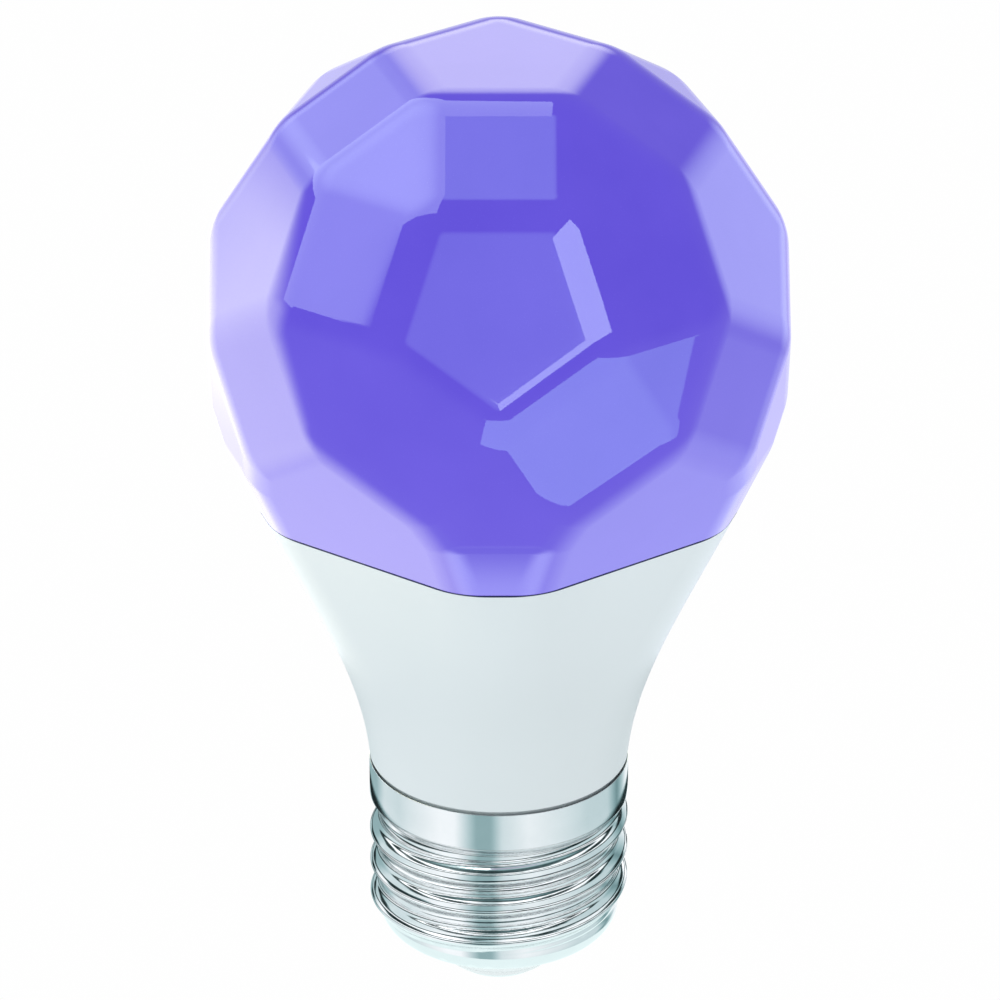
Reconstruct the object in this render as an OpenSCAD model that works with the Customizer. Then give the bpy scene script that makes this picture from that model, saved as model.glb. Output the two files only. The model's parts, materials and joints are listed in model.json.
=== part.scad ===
// Smart light bulb with a faceted diffuser and an E27 screw cap.
// The origin is the tip of the centre contact, on the bulb's axis; +Z runs up through the globe.

/* [Globe] */
// Diameter of the globe across opposite corners
globe_d = 60; // [58:0.5:62]
// Height of the globe's centre above the contact tip
globe_z = 73; // [72:0.5:74]
// Radius that rounds every edge and corner of the globe
edge_round = 8; // [6:0.5:9]
// Wall of the diffuser
diffuser_wall = 2; // [1.6:0.1:2.2]

/* [Housing] */
// Height of the seam between diffuser and housing
seam_z = 54.7; // [54.2:0.1:55.2]
// Distance from the axis to the housing's five corners at the seam
corner_r = 24.26; // [24:0.01:24.6]
// Slope of the corners just below the seam, outwards for each mm upwards
corner_slope = 0.44; // [0.4:0.01:0.5]
// Fillet between the housing's faces at the seam
seam_round = 9; // [8:0.5:11]
// Wall of the housing
housing_wall = 1.6; // [1.4:0.1:1.8]

/* [Cap] */
// Radius of the smooth collar at the top of the screw shell
collar_r = 13.1; // [13.05:0.01:13.2]
// Height of the top of the collar
collar_z = 24.3; // [24:0.1:24.6]
// Width of the smooth band of the collar
collar_h = 4.3; // [4:0.1:4.6]
// Radius over the thread crests
crest_r = 13.1; // [13.05:0.01:13.2]
// Radius at the thread roots
root_r = 12.15; // [12.1:0.01:12.25]
// Pitch of the thread
pitch = 3.629; // [3.6:0.001:3.65]
// Wall of the rolled shell
shell_wall = 0.3; // [0.25:0.05:0.35]

/* [Light board] */
// Radius of the light board
led_board_r = 17; // [16.5:0.1:17.2]
// White lights of each of the two tints
white_leds = 6; // [4:1:6]
// Radius of the ring of colour lights
colour_ring = 7.6; // [7.4:0.1:7.7]

/* [Driver] */
// Width of the driver board inside the cap
driver_w = 18; // [16:0.5:18]
// Diameter of the bulk capacitor's can
bulk_cap_d = 8; // [7:0.5:8]

/* [Hidden] */
$fn = 64;
eps = 0.01;

// Colours
violet = [0.46, 0.43, 0.88];
shell_white = [0.91, 0.93, 0.94];
nickel = [0.78, 0.82, 0.83];
board_green = [0.10, 0.36, 0.22];
ferrite = [0.20, 0.20, 0.21];
copper = [0.78, 0.45, 0.22];
tin = [0.80, 0.80, 0.80];
black_resin = [0.10, 0.10, 0.11];

// --- Rhombicosidodecahedron -------------------------------------------------------------
// Its five-fold axis is upright. One pentagon is on top, five tilt up around it and five tilt
// down between those. Every face plane moves in by edge_round to give the core, and a ball of
// that radius rolled over the core gives the soft edges.
globe_r = globe_d / 2;
edge = 2 * globe_r / sqrt(11 + 4 * sqrt(5));
pentagon_tilt = atan(0.5);
pentagon_to_square = atan(2 / (1 + sqrt(5)));
pentagon_d = sqrt(globe_r * globe_r - pow(edge / (2 * sin(36)), 2));
square_d = sqrt(globe_r * globe_r - edge * edge / 2);
core_pentagon_d = pentagon_d - edge_round;
core_square_d = square_d - edge_round;
core_pentagon_r = (core_square_d - core_pentagon_d * cos(pentagon_to_square))
    / (sin(pentagon_to_square) * cos(36));
front = -90;
seam_below = seam_z - globe_z;

function direction(az, el) = [cos(el) * cos(az), cos(el) * sin(az), sin(el)];
function unit(v) = v / norm(v);
function meet(n1, d1, n2, d2, n3, d3) =
    (d1 * cross(n2, n3) + d2 * cross(n3, n1) + d3 * cross(n1, n2)) / (n1 * cross(n2, n3));

// Corner of a pentagon that faces az, el, at angle a from the side nearest the top
function pentagon_corner(az, el, a) =
    direction(az, el) * core_pentagon_d
    + (direction(az, el + 90) * cos(a) + direction(az + 90, 0) * sin(a)) * core_pentagon_r;

// The low triangle and the strip that takes the globe down to a corner of the housing
triangle_n = unit(direction(front, pentagon_tilt) + direction(front - 36, -pentagon_tilt)
    + direction(front + 36, -pentagon_tilt));
core_triangle_d = triangle_n * pentagon_corner(front, pentagon_tilt, 180);
strip_el = -atan(corner_slope);
strip_n = direction(front, strip_el);
core_strip_d = strip_n * [0, -corner_r, seam_below] - edge_round;

function strip_top(side) =
    meet(triangle_n, core_triangle_d, strip_n, core_strip_d,
        direction(front + 36 * side, -pentagon_tilt), core_pentagon_d);
function strip_foot(side) =
    meet([0, 0, 1], seam_below, strip_n, core_strip_d,
        direction(front + 36 * side, -pentagon_tilt), core_pentagon_d);
function turned(p, a) = [p.x * cos(a) - p.y * sin(a), p.x * sin(a) + p.y * cos(a), p.z];

core_corners = [
    for (k = [0:4])
        let (up = front + 72 * k, down = up + 36)
        each [
            pentagon_corner(0, 90, 18 + 72 * k),
            for (a = [36:72:324]) pentagon_corner(up, pentagon_tilt, a),
            for (a = [-72:72:72]) pentagon_corner(down, -pentagon_tilt, a),
            for (side = [-1, 1]) turned(strip_top(side), 72 * k),
            for (side = [-1, 1]) turned(strip_foot(side), 72 * k)
        ]
];

module rounded_globe(ball_r) {
    hull() for (p = core_corners) translate([p.x, p.y, p.z + globe_z]) sphere(ball_r, $fn = 32);
}

// --- Section shared by the seam and the housing -----------------------------------------
// Ten sides: five faces at distance face_r and five corner flats at distance flat_r, joined
// by fillets. At the collar both distances and the fillet are the collar's radius: a circle.
arc_steps = 6;
face_r_seam = (pentagon_d + seam_below * sin(pentagon_tilt)) / cos(pentagon_tilt);
face_slope = tan(pentagon_tilt);
neck_r = collar_r - 0.07;
neck_slope = 0.08;
gap = 0.1;
housing_z = collar_z + gap;
housing_h = seam_z - housing_z;

// Cubic that leaves a with slope sa and reaches b with slope sb, as t goes from 0 to 1
function blend(t, a, b, sa, sb) =
    (2 * t * t * t - 3 * t * t + 1) * a + (t * t * t - 2 * t * t + t) * housing_h * sa
    + (3 * t * t - 2 * t * t * t) * b + (t * t * t - t * t) * housing_h * sb;
function height_part(z) = (z - housing_z) / housing_h;
function face_r(z) = blend(height_part(z), neck_r, face_r_seam, neck_slope, face_slope);
function flat_r(z) = blend(height_part(z), neck_r, corner_r, neck_slope, corner_slope);
function fillet_r(z) = neck_r + (seam_round - neck_r) * height_part(z);

function fillet_centre(f, g, c, az) =
    let (across = (f - c - (g - c) * cos(36)) / sin(36))
    [(g - c) * cos(az) - across * sin(az), (g - c) * sin(az) + across * cos(az)];
function section(z, inset) =
    let (f = face_r(z) - inset, g = flat_r(z) - inset, c = max(fillet_r(z) - inset, 1))
    [
        for (k = [0:4])
            for (side = [-1, 1])
                let (
                    az = front + 72 * k,
                    mirrored = fillet_centre(f, g, c, 0),
                    centre = turned([mirrored.x, mirrored.y * side, 0], az)
                )
                for (i = [0:arc_steps])
                    let (a = az + (side < 0 ? -36 : 0) + 36 * i / arc_steps)
                    [centre.x + c * cos(a), centre.y + c * sin(a)]
    ];

// Solid between heights z0 and z1 that follows the section, moved in by inset
module loft(z0, z1, inset, rings = 12) {
    n = 10 * (arc_steps + 1);
    heights = [for (i = [0:rings]) z0 + (z1 - z0) * i / rings];
    points = [for (z = heights) for (p = section(z, inset)) [p.x, p.y, z]];
    sides = [
        for (i = [0:rings - 1])
            for (j = [0:n - 1])
                let (a = i * n + j, b = i * n + (j + 1) % n)
                each [[a, a + n, b + n], [a, b + n, b]]
    ];
    bottom = [for (j = [0:n - 1]) j];
    top = [for (j = [n - 1:-1:0]) rings * n + j];
    polyhedron(points, concat(sides, [bottom, top]));
}

module seam_ring(z0, z1, outer_inset, inner_inset) {
    translate([0, 0, z0]) linear_extrude(z1 - z0) difference() {
        polygon(section(seam_z, outer_inset));
        polygon(section(seam_z, inner_inset));
    }
}

// --- Outer pieces -----------------------------------------------------------------------
lip_h = 2;
lip_outer = 2.1;
lip_inner = 3.5;
lip_root_h = 1.4;
lip_embed = 1;

module diffuser() {
    color(violet) union() {
        difference() {
            rounded_globe(edge_round);
            rounded_globe(edge_round - diffuser_wall);
            translate([-globe_d, -globe_d, seam_z + gap - globe_d])
                cube([2 * globe_d, 2 * globe_d, globe_d]);
        }
        seam_ring(seam_z + gap, seam_z + lip_root_h, lip_embed, lip_inner);
        seam_ring(seam_z - lip_h, seam_z + gap + eps, lip_outer, lip_inner);
    }
}

glue_h = 0.3;
pocket_z = seam_z - lip_h - glue_h;
neck_outer_r = 12.7;
neck_step_z = 20.5;
sleeve_r = 11.7;
sleeve_z = 13;
bore_r = 10.4;
rail_w = 0.9;
rail_x = 8.3;
board_y = -3.6;
board_t = 1.2;
rail_gap = 0.1;

// Rib inside the neck; a pair on each side holds the driver board's edge
module board_rail(side, y) {
    intersection() {
        translate([side > 0 ? rail_x : -bore_r - 1, y, sleeve_z])
            cube([bore_r + 1 - rail_x, rail_w, collar_z - sleeve_z]);
        translate([0, 0, sleeve_z]) cylinder(r = bore_r + 0.5, h = collar_z);
    }
}

module housing() {
    color(shell_white) union() {
        difference() {
            loft(housing_z, seam_z, 0);
            loft(housing_z + housing_wall, seam_z + 1, housing_wall);
            translate([0, 0, pocket_z]) linear_extrude(2 * lip_h + glue_h)
                polygon(section(seam_z, lip_outer - gap));
            translate([0, 0, housing_z - 1]) cylinder(r = bore_r, h = housing_wall + 2);
        }
        difference() {
            union() {
                translate([0, 0, neck_step_z])
                    cylinder(r = neck_outer_r, h = housing_z - neck_step_z + eps);
                translate([0, 0, sleeve_z]) cylinder(r = sleeve_r, h = neck_step_z - sleeve_z + eps);
            }
            translate([0, 0, sleeve_z - 1]) cylinder(r = bore_r, h = housing_z - sleeve_z + 2);
        }
        for (side = [-1, 1]) {
            board_rail(side, board_y - rail_gap - rail_w);
            board_rail(side, board_y + board_t + rail_gap);
        }
    }
}

module diffuser_glue() {
    color([0.93, 0.93, 0.90]) seam_ring(pocket_z, seam_z - lip_h, lip_outer, 2.7);
}

rim_round = 2.55;
rim_round_x = root_r - rim_round;
rim_round_z = 7.4;
rim_end = 76;
throat_z = 19.1;

module shell_profile(wall) {
    polygon([
        [collar_r - wall, collar_z],
        [collar_r - wall, collar_z - collar_h + wall / 2],
        [root_r - wall, throat_z],
        for (a = [0:rim_end / 5:rim_end])
            [rim_round_x + (rim_round - wall) * cos(a), rim_round_z - (rim_round - wall) * sin(a)],
        [0, rim_round_z - (rim_round - wall) * sin(rim_end)],
        [0, collar_z]
    ]);
}

// Thread ridge: it winds up anticlockwise, which is right-handed, and fades in at both ends
thread_start = 90;
thread_end = 1170;
thread_fade = 75;
thread_low_z = 8.54;
thread_low_az = 180;
ridge_half_w = 1.62;
ridge_steps = 6;
ring_step = 10;
ridge_root_r = root_r - 0.15;

function fade(a) = min(1, (a - thread_start) / thread_fade, (thread_end - a) / thread_fade);
function ridge_ring(a) =
    let (z = thread_low_z + pitch * (a - thread_low_az) / 360, h = crest_r - root_r)
    [
        [ridge_root_r, z + ridge_half_w],
        for (i = [ridge_steps:-1:0])
            let (u = 2 * i / ridge_steps - 1)
            [root_r + eps + h * fade(a) * (1 + cos(180 * u)) / 2, z + ridge_half_w * u],
        [ridge_root_r, z - ridge_half_w]
    ];

module thread_ridge() {
    n = ridge_steps + 3;
    angles = [thread_start:ring_step:thread_end];
    rings = (thread_end - thread_start) / ring_step;
    points = [
        for (a = angles) for (p = ridge_ring(a)) [p.x * cos(a), p.x * sin(a), p.y]
    ];
    sides = [
        for (i = [0:rings - 1])
            for (j = [0:n - 1])
                let (a = i * n + j, b = i * n + (j + 1) % n)
                each [[a, b + n, b], [a, a + n, b + n]]
    ];
    first = [for (j = [0:n - 1]) j];
    last = [for (j = [n - 1:-1:0]) rings * n + j];
    polyhedron(points, concat(sides, [first, last]));
}

module screw_shell() {
    color(nickel) union() {
        rotate_extrude() difference() {
            shell_profile(0);
            shell_profile(shell_wall);
            translate([0, collar_z - eps]) square([20, 1]);
            square([rim_round_x + rim_round * cos(rim_end), 10]);
        }
        thread_ridge();
    }
}

contact_r = 4.7;
contact_h = 1.1;
pin_r = 1.5;
pin_z = 7.6;

module cap_insulator() {
    color([0.93, 0.94, 0.94]) rotate_extrude() polygon([
        [pin_r, contact_h], [contact_r + 0.5, contact_h], [contact_r + 0.9, 1.5], [8, 3.55],
        [9.9, 4.85], [9.9, 6.2], [9, 7.2], [3.2, 7.2], [3.2, 6.4], [pin_r, 6.4]
    ]);
}

module centre_contact() {
    color(nickel) rotate_extrude() polygon([
        [0, 0], [3.8, 0], for (a = [75:-15:0]) [3.8 + 0.9 * cos(a), 0.9 - 0.9 * sin(a)],
        [contact_r, contact_h], [pin_r, contact_h], [pin_r, pin_z], [0, pin_z]
    ]);
}

module cap_adhesive() {
    color([0.85, 0.85, 0.80]) translate([0, 0, sleeve_z + 1]) difference() {
        cylinder(r = root_r - shell_wall, h = 5);
        translate([0, 0, -1]) cylinder(r = sleeve_r, h = 7);
    }
}

// --- Heat sink and light board ----------------------------------------------------------
sink_gap = 0.15;
sink_wall = 1;
sink_z = 30;
plate_z = 50;
plate_t = 1.2;
plate_top = plate_z + plate_t;
pad_t = 0.4;
led_board_z = plate_top + pad_t;
led_board_t = 1.2;
led_board_top = led_board_z + led_board_t;
sheet_t = 0.25;

screw_r = 1.2;
screw_ring = 14.7;
screw_count = 3;
pins_y = -3;
radio_y = 6.4;
radio_w = 10;
radio_t = 0.8;

module at_screws() {
    for (k = [0:screw_count - 1]) rotate(30 + 360 / screw_count * k) translate([screw_ring, 0, 0])
        children();
}

// Openings that go through everything stacked under the diffuser
module stack_openings(pin_w, pin_d) {
    at_screws() cylinder(r = screw_r + 0.05, h = 100, $fn = 32);
    translate([-pin_w / 2, pins_y - pin_d / 2, 0]) cube([pin_w, pin_d, 100]);
    translate([-radio_w / 2 - 0.4, radio_y - radio_t / 2 - 0.4, 0])
        cube([radio_w + 0.8, radio_t + 0.8, 100]);
}

module heat_sink() {
    function sink_r(z) = face_r(z) - housing_wall - sink_gap;
    heights = [for (i = [0:5]) sink_z + (plate_z - sink_z) * i / 5];
    color([0.75, 0.76, 0.77]) difference() {
        union() {
            rotate_extrude() polygon([
                for (z = heights) [sink_r(z), z],
                [sink_r(plate_z), plate_top],
                [0, plate_top],
                [0, plate_z],
                [sink_r(plate_z) - sink_wall - 0.5, plate_z],
                for (i = [5:-1:0]) [sink_r(heights[i]) - sink_wall, heights[i] - (i == 5 ? 0.5 : 0)]
            ]);
            at_screws() translate([0, 0, plate_z - 2.5]) cylinder(r = 2.4, h = 2.6, $fn = 32);
        }
        stack_openings(7.6, 3);
    }
}

module thermal_pad() {
    color([0.55, 0.62, 0.68]) difference() {
        translate([0, 0, plate_top]) cylinder(r = led_board_r - 0.4, h = pad_t);
        stack_openings(7.6, 3);
    }
}

module led_board() {
    color([0.94, 0.95, 0.95]) difference() {
        translate([0, 0, led_board_z]) cylinder(r = led_board_r, h = led_board_t);
        stack_openings(6.6, 2);
    }
}

white_ring = 11.6;
colour_places = 6;
radio_place = 3;
white_size = [2.8, 3.5, 0.7];
colour_size = [3, 3, 0.8];

module led_package(size) {
    difference() {
        translate([-size.x / 2, -size.y / 2, 0]) cube(size);
        translate([0, 0, size.z - 0.2]) cylinder(r = size.x * 0.4, h = 1, $fn = 32);
    }
    translate([0, 0, size.z - 0.2 - eps]) cylinder(r = size.x * 0.4 + eps, h = 0.12, $fn = 32);
}

module on_white_ring(first) {
    n = 2 * white_leds;
    for (k = [first:2:n - 1]) rotate(360 / n * (k + 0.5)) translate([white_ring, 0, 0]) children();
}

// The radio board stands where one of the evenly spaced places would be
module on_colour_ring() {
    for (k = [0:colour_places - 1])
        if (k != radio_place)
            rotate(front + 360 / colour_places * k) translate([colour_ring, 0, 0]) children();
}

module warm_leds() {
    color([0.98, 0.82, 0.35]) translate([0, 0, led_board_top]) on_white_ring(0) led_package(white_size);
}

module cool_leds() {
    color([0.97, 0.93, 0.45]) translate([0, 0, led_board_top]) on_white_ring(1) led_package(white_size);
}

module colour_leds() {
    color([0.90, 0.92, 0.98]) translate([0, 0, led_board_top]) on_colour_ring() led_package(colour_size);
}

module reflector_sheet() {
    window = 0.25;
    color([0.98, 0.98, 0.98]) difference() {
        translate([0, 0, led_board_top]) cylinder(r = led_board_r - 0.6, h = sheet_t);
        for (first = [0, 1]) on_white_ring(first)
            translate([-white_size.x / 2 - window, -white_size.y / 2 - window, 0])
                cube([white_size.x + 2 * window, white_size.y + 2 * window, 100]);
        on_colour_ring()
            translate([-colour_size.x / 2 - window, -colour_size.y / 2 - window, 0])
                cube([colour_size.x + 2 * window, colour_size.y + 2 * window, 100]);
        at_screws() cylinder(r = 2.4, h = 100, $fn = 32);
        stack_openings(7.6, 3.4);
    }
}

module board_screws() {
    head_r = 2.1;
    head_h = 1.3;
    color(tin) at_screws() difference() {
        union() {
            translate([0, 0, plate_z - 2]) cylinder(r = screw_r, h = led_board_top - plate_z + 2 + eps);
            translate([0, 0, led_board_top]) cylinder(r1 = head_r, r2 = 1.6, h = head_h, $fn = 32);
        }
        for (a = [0, 90]) rotate(a) translate([-1.2, -0.25, led_board_top + head_h - 0.7])
            cube([2.4, 0.5, 1]);
    }
}

pin_count = 4;
pin_pitch = 1.6;
pin_side = 0.6;

module pin_row(z0, z1) {
    for (k = [0:pin_count - 1])
        translate([(k - (pin_count - 1) / 2) * pin_pitch - pin_side / 2, pins_y - pin_side / 2, z0])
            cube([pin_side, pin_side, z1 - z0]);
}

driver_top = 47;
connector_h = 3;
connector_w = 7.4;
connector_d = 3.2;

module led_connector() {
    color([0.95, 0.93, 0.86]) difference() {
        translate([-connector_w / 2, pins_y - connector_d / 2, led_board_top])
            cube([connector_w, connector_d, connector_h]);
        pin_row(0, 100);
    }
}

module led_pins() {
    color([0.85, 0.72, 0.30]) pin_row(driver_top - 3, led_board_top + connector_h - 0.4);
}

// --- Driver -----------------------------------------------------------------------------
driver_z = 12.2;
shoulder_z = 33;
driver_top_w = 22;
front_y = board_y + board_t;

module driver_board() {
    color(board_green) difference() {
        union() {
            translate([-driver_w / 2, board_y, driver_z])
                cube([driver_w, board_t, driver_top - driver_z]);
            translate([-driver_top_w / 2, board_y, shoulder_z])
                cube([driver_top_w, board_t, driver_top - shoulder_z]);
        }
        pin_row(driver_top - 3, 100);
        for (x = radio_pin_xs) translate([x, 0, radio_pin_z]) rotate([90, 0, 0])
            cylinder(r = radio_pin_r, h = 10, $fn = 24);
    }
}

bulk_x = 4.2;
bulk_y = front_y + 0.3 + bulk_cap_d / 2;
bulk_z = 14.5;
bulk_h = 14;

// Aluminium can in its sleeve, with the crimp groove near the sealed end
module can(d, h) {
    rotate_extrude() polygon([
        [0, 0.4], [d / 2 - 0.6, 0.4], [d / 2 - 0.6, 0], [d / 2 - 0.15, 0], [d / 2, 0.3],
        [d / 2, 1.2], [d / 2 - 0.35, 1.6], [d / 2, 2], [d / 2, h - 0.4], [d / 2 - 0.4, h],
        [d / 2 - 1, h], [d / 2 - 1.1, h - 0.15], [0, h - 0.15]
    ]);
}

module bulk_capacitor() {
    color([0.14, 0.18, 0.32]) translate([bulk_x, bulk_y, bulk_z]) can(bulk_cap_d, bulk_h);
}

output_x = 8.8;
output_y = front_y + 3.6;
output_z = 37;
output_d = 6.3;

module output_capacitor() {
    color([0.10, 0.11, 0.13]) translate([output_x, output_y, output_z]) can(output_d, 9);
}

film_x = -4.6;
film_z = 14;

module film_capacitor() {
    color([0.85, 0.66, 0.15]) translate([film_x - 3, front_y + 0.1, film_z]) cube([6, 4.6, 9]);
}

varistor_x = -4.8;
varistor_z = 28.6;

module varistor() {
    color([0.10, 0.35, 0.65]) translate([varistor_x, front_y + 0.6, varistor_z]) rotate([-90, 0, 0])
        rotate_extrude() polygon([
            [0, 0], [2.9, 0], [3.4, 0.6], [3.5, 1.3], [3.4, 2], [2.9, 2.6], [0, 2.6]
        ]);
}

choke_x = -8.6;
choke_y = front_y + 3.5;
choke_z = 37;

module choke_core() {
    color(ferrite) translate([choke_x, choke_y, choke_z]) rotate_extrude() polygon([
        [0, 0], [3, 0], [3, 1.1], [1.3, 1.1], [1.3, 6.4], [3, 6.4], [3, 7.5], [0, 7.5]
    ]);
}

// Enamelled wire seen from outside is a ribbed sleeve, one rib for each turn
module wound(r_in, r_out, h, turns) {
    rib = h / turns;
    rotate_extrude() polygon([
        [r_in, 0],
        for (i = [0:turns - 1]) each [[r_out - rib / 3, i * rib], [r_out, (i + 0.5) * rib]],
        [r_out - rib / 3, h],
        [r_in, h]
    ]);
}

module choke_winding() {
    color(copper) translate([choke_x, choke_y, choke_z + 1.1]) wound(1.3, 2.7, 5.3, 12);
}

core_w = 11;
core_h = 10;
core_t = 5.4;
core_z = 34;
core_y = front_y + 5.6;
leg_w = 1.9;
window_w = 2.3;

// Two E halves around the bobbin: a frame with a middle leg, upright, seen from the front
module transformer_core() {
    color(ferrite) translate([-core_w / 2, core_y - core_t / 2, core_z]) difference() {
        cube([core_w, core_t, core_h]);
        for (x = [leg_w, core_w - leg_w - window_w]) translate([x, -1, leg_w])
            cube([window_w, core_t + 2, core_h - 2 * leg_w]);
        translate([-1, -1, core_h / 2 - 0.03]) cube([core_w + 2, core_t + 2, 0.06]);
    }
}

leg_x = core_w - 2 * (leg_w + window_w);
bobbin_wall = 0.4;
bobbin_reach = window_w - 0.25;

module leg_prism(grow, h) {
    w = leg_x + 2 * grow;
    d = core_t + 2 * grow;
    translate([-w / 2, core_y - d / 2, core_z + core_h / 2 - h / 2]) cube([w, d, h]);
}

module transformer_bobbin() {
    flange_h = core_h - 2 * leg_w - 0.1;
    color([0.12, 0.12, 0.12]) difference() {
        union() {
            leg_prism(bobbin_wall + 0.05, flange_h);
            for (side = [-1, 1]) translate([0, 0, side * (flange_h / 2 - 0.3)])
                leg_prism(bobbin_reach, 0.6);
        }
        leg_prism(0.05, core_h);
    }
}

module transformer_winding() {
    winding_h = core_h - 2 * leg_w - 1.4;
    ribs = 6;
    color([0.88, 0.75, 0.20]) difference() {
        union() {
            leg_prism(bobbin_reach - 0.35, winding_h);
            for (i = [0:ribs - 1])
                translate([0, 0, winding_h * ((i + 0.5) / ribs - 0.5)])
                    leg_prism(bobbin_reach - 0.2, winding_h / ribs * 0.6);
        }
        leg_prism(bobbin_wall + 0.05, core_h);
    }
}

// Moulded package with gull-wing legs on the rear face of the driver board
module chip_package(x, z, w, h, t, legs, leg_w) {
    translate([x - w / 2, board_y - t, z - h / 2]) cube([w, t - 0.1, h]);
    for (side = [-1, 1]) for (k = [0:legs - 1])
        translate([x + side * (w / 2 + 0.4) - 0.5, board_y - t / 2 - 0.1,
                z - h / 2 + h * (k + 0.5) / legs - leg_w / 2])
            cube([1, t / 2 + 0.1, leg_w]);
}

module bridge_rectifier() {
    color(black_resin) chip_package(2.2, 27.5, 4, 4.7, 1.6, 2, 0.7);
}

module driver_chip() {
    color(black_resin) chip_package(-3.6, 35.5, 3.9, 4.9, 1.5, 4, 0.4);
}

module output_diode() {
    color(black_resin) chip_package(5.6, 40.5, 4.3, 2.6, 2, 1, 1.4);
}

module chip_resistors() {
    spots = [[3.2, 33], [3.2, 35], [6.2, 33], [6.2, 35], [-3.6, 40], [-6.8, 40], [-7, 44.2], [7, 44.2]];
    color([0.16, 0.16, 0.17]) for (p = spots) translate([p.x - 1, board_y - 0.55, p.y - 0.62])
        cube([2, 0.55, 1.25]);
}

fuse_x = -3.2;
fuse_y = -6.3;
fuse_z = 14.5;
fuse_h = 8;

module fuse_resistor() {
    color([0.55, 0.75, 0.70]) translate([fuse_x, fuse_y, fuse_z]) rotate_extrude() polygon([
        [0, 0], [0.9, 0], [1.5, 0.5], [1.5, 1.6], [1.25, 2.1], [1.25, fuse_h - 2.1],
        [1.5, fuse_h - 1.6], [1.5, fuse_h - 0.5], [0.9, fuse_h], [0, fuse_h]
    ]);
}

module fuse_sleeve() {
    color([0.20, 0.20, 0.22]) translate([fuse_x, fuse_y, fuse_z - 1]) difference() {
        cylinder(r = 1.95, h = fuse_h + 2);
        translate([0, 0, -1]) cylinder(r = 1.55, h = fuse_h + 4);
    }
}

// Round wire along a list of points
module wire(points, r) {
    for (i = [0:len(points) - 2]) {
        step = points[i + 1] - points[i];
        translate(points[i]) rotate([0, acos(step.z / norm(step)), atan2(step.y, step.x)])
            cylinder(r = r, h = norm(step), $fn = 24);
        if (i > 0) translate(points[i]) sphere(r * 1.04, $fn = 24);
    }
}

lead_r = 0.3;

module component_leads() {
    color(tin) {
        for (side = [-1, 1]) {
            wire([[bulk_x + side * 1.6, bulk_y, bulk_z + 0.4], [bulk_x + side * 1.6, bulk_y, bulk_z - 1.2],
                [bulk_x + side * 1.6, front_y, bulk_z - 1.2]], lead_r);
            wire([[output_x, output_y + side * 1.2, output_z + 0.4],
                [output_x, output_y + side * 1.2, output_z - 1.2 - 0.4 * side],
                [output_x, front_y, output_z - 1.2 - 0.4 * side]], lead_r);
            wire([[choke_x + side * 1.6, choke_y, choke_z], [choke_x + side * 1.6, choke_y, choke_z - 1],
                [choke_x + side * 1.6, front_y, choke_z - 1]], lead_r);
            wire([[varistor_x + side * 2, front_y + 1.2, varistor_z + 2.6],
                [varistor_x + side * 2, front_y + 1.2, varistor_z + 4.2],
                [varistor_x + side * 2, front_y, varistor_z + 4.2]], lead_r);
        }
        wire([[fuse_x, fuse_y, fuse_z + fuse_h], [fuse_x, fuse_y, fuse_z + fuse_h + 1.6],
            [fuse_x, board_y, fuse_z + fuse_h + 1.6]], lead_r);
    }
}

// --- Radio ------------------------------------------------------------------------------
radio_z = 43;
radio_top = 61;
radio_pin_z = 45;
radio_pin_r = 0.3;
radio_pin_xs = [-4.2, -3.2, 3.2, 4.2];
trace_t = 0.12;
trace_w = 0.5;
trace_turns = 5;

module radio_board() {
    color([0.12, 0.30, 0.50]) difference() {
        translate([-radio_w / 2, radio_y - radio_t / 2, radio_z])
            cube([radio_w, radio_t, radio_top - radio_z]);
        for (x = radio_pin_xs) translate([x, radio_y + 2, radio_pin_z]) rotate([90, 0, 0])
            cylinder(r = radio_pin_r, h = 4, $fn = 24);
    }
}

module radio_shield() {
    color(tin) difference() {
        translate([-4.2, radio_y + radio_t / 2, 45.8]) cube([8.4, 1.4, 3.9]);
        translate([-4.05, radio_y + radio_t / 2 - 1, 45.95]) cube([8.1, 2.2, 3.6]);
    }
}

// Meander on the part of the radio board that stands above the light board
module radio_antenna() {
    pitch_x = (radio_w - 2) / (2 * trace_turns);
    low = led_board_top + 2.4;
    high = radio_top - 0.8;
    color([0.85, 0.68, 0.30]) translate([-radio_w / 2 + 1, radio_y + radio_t / 2, 0])
        for (k = [0:2 * trace_turns]) {
            translate([k * pitch_x - trace_w / 2, 0, low]) cube([trace_w, trace_t, high - low]);
            if (k < 2 * trace_turns)
                translate([k * pitch_x - trace_w / 2, 0, k % 2 == 0 ? high - trace_w : low])
                    cube([pitch_x + trace_w, trace_t, trace_w]);
        }
}

module radio_pins() {
    color([0.85, 0.72, 0.30]) for (x = radio_pin_xs)
        translate([x, radio_y + radio_t / 2 + 0.5, radio_pin_z]) rotate([90, 0, 0])
            cylinder(r = radio_pin_r, h = radio_y + radio_t / 2 + 0.5 - board_y + 0.4, $fn = 24);
}

// --- Mains leads ------------------------------------------------------------------------
module live_lead() {
    color([0.75, 0.10, 0.10]) wire([
        [0, 0, pin_z], [-0.3, -0.3, 9.4], [-2.4, -4.6, 11.2], [fuse_x, fuse_y, 13],
        [fuse_x, fuse_y, fuse_z]
    ], 0.6);
}

module neutral_lead() {
    color([0.15, 0.25, 0.65]) wire([
        [7.4, board_y - 0.6, 16.5], [7.4, board_y - 0.6, 12.4], [8.6, board_y - 1.2, 11.4],
        [10.2, board_y - 0.9, 11.2]
    ], 0.6);
}

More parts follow.
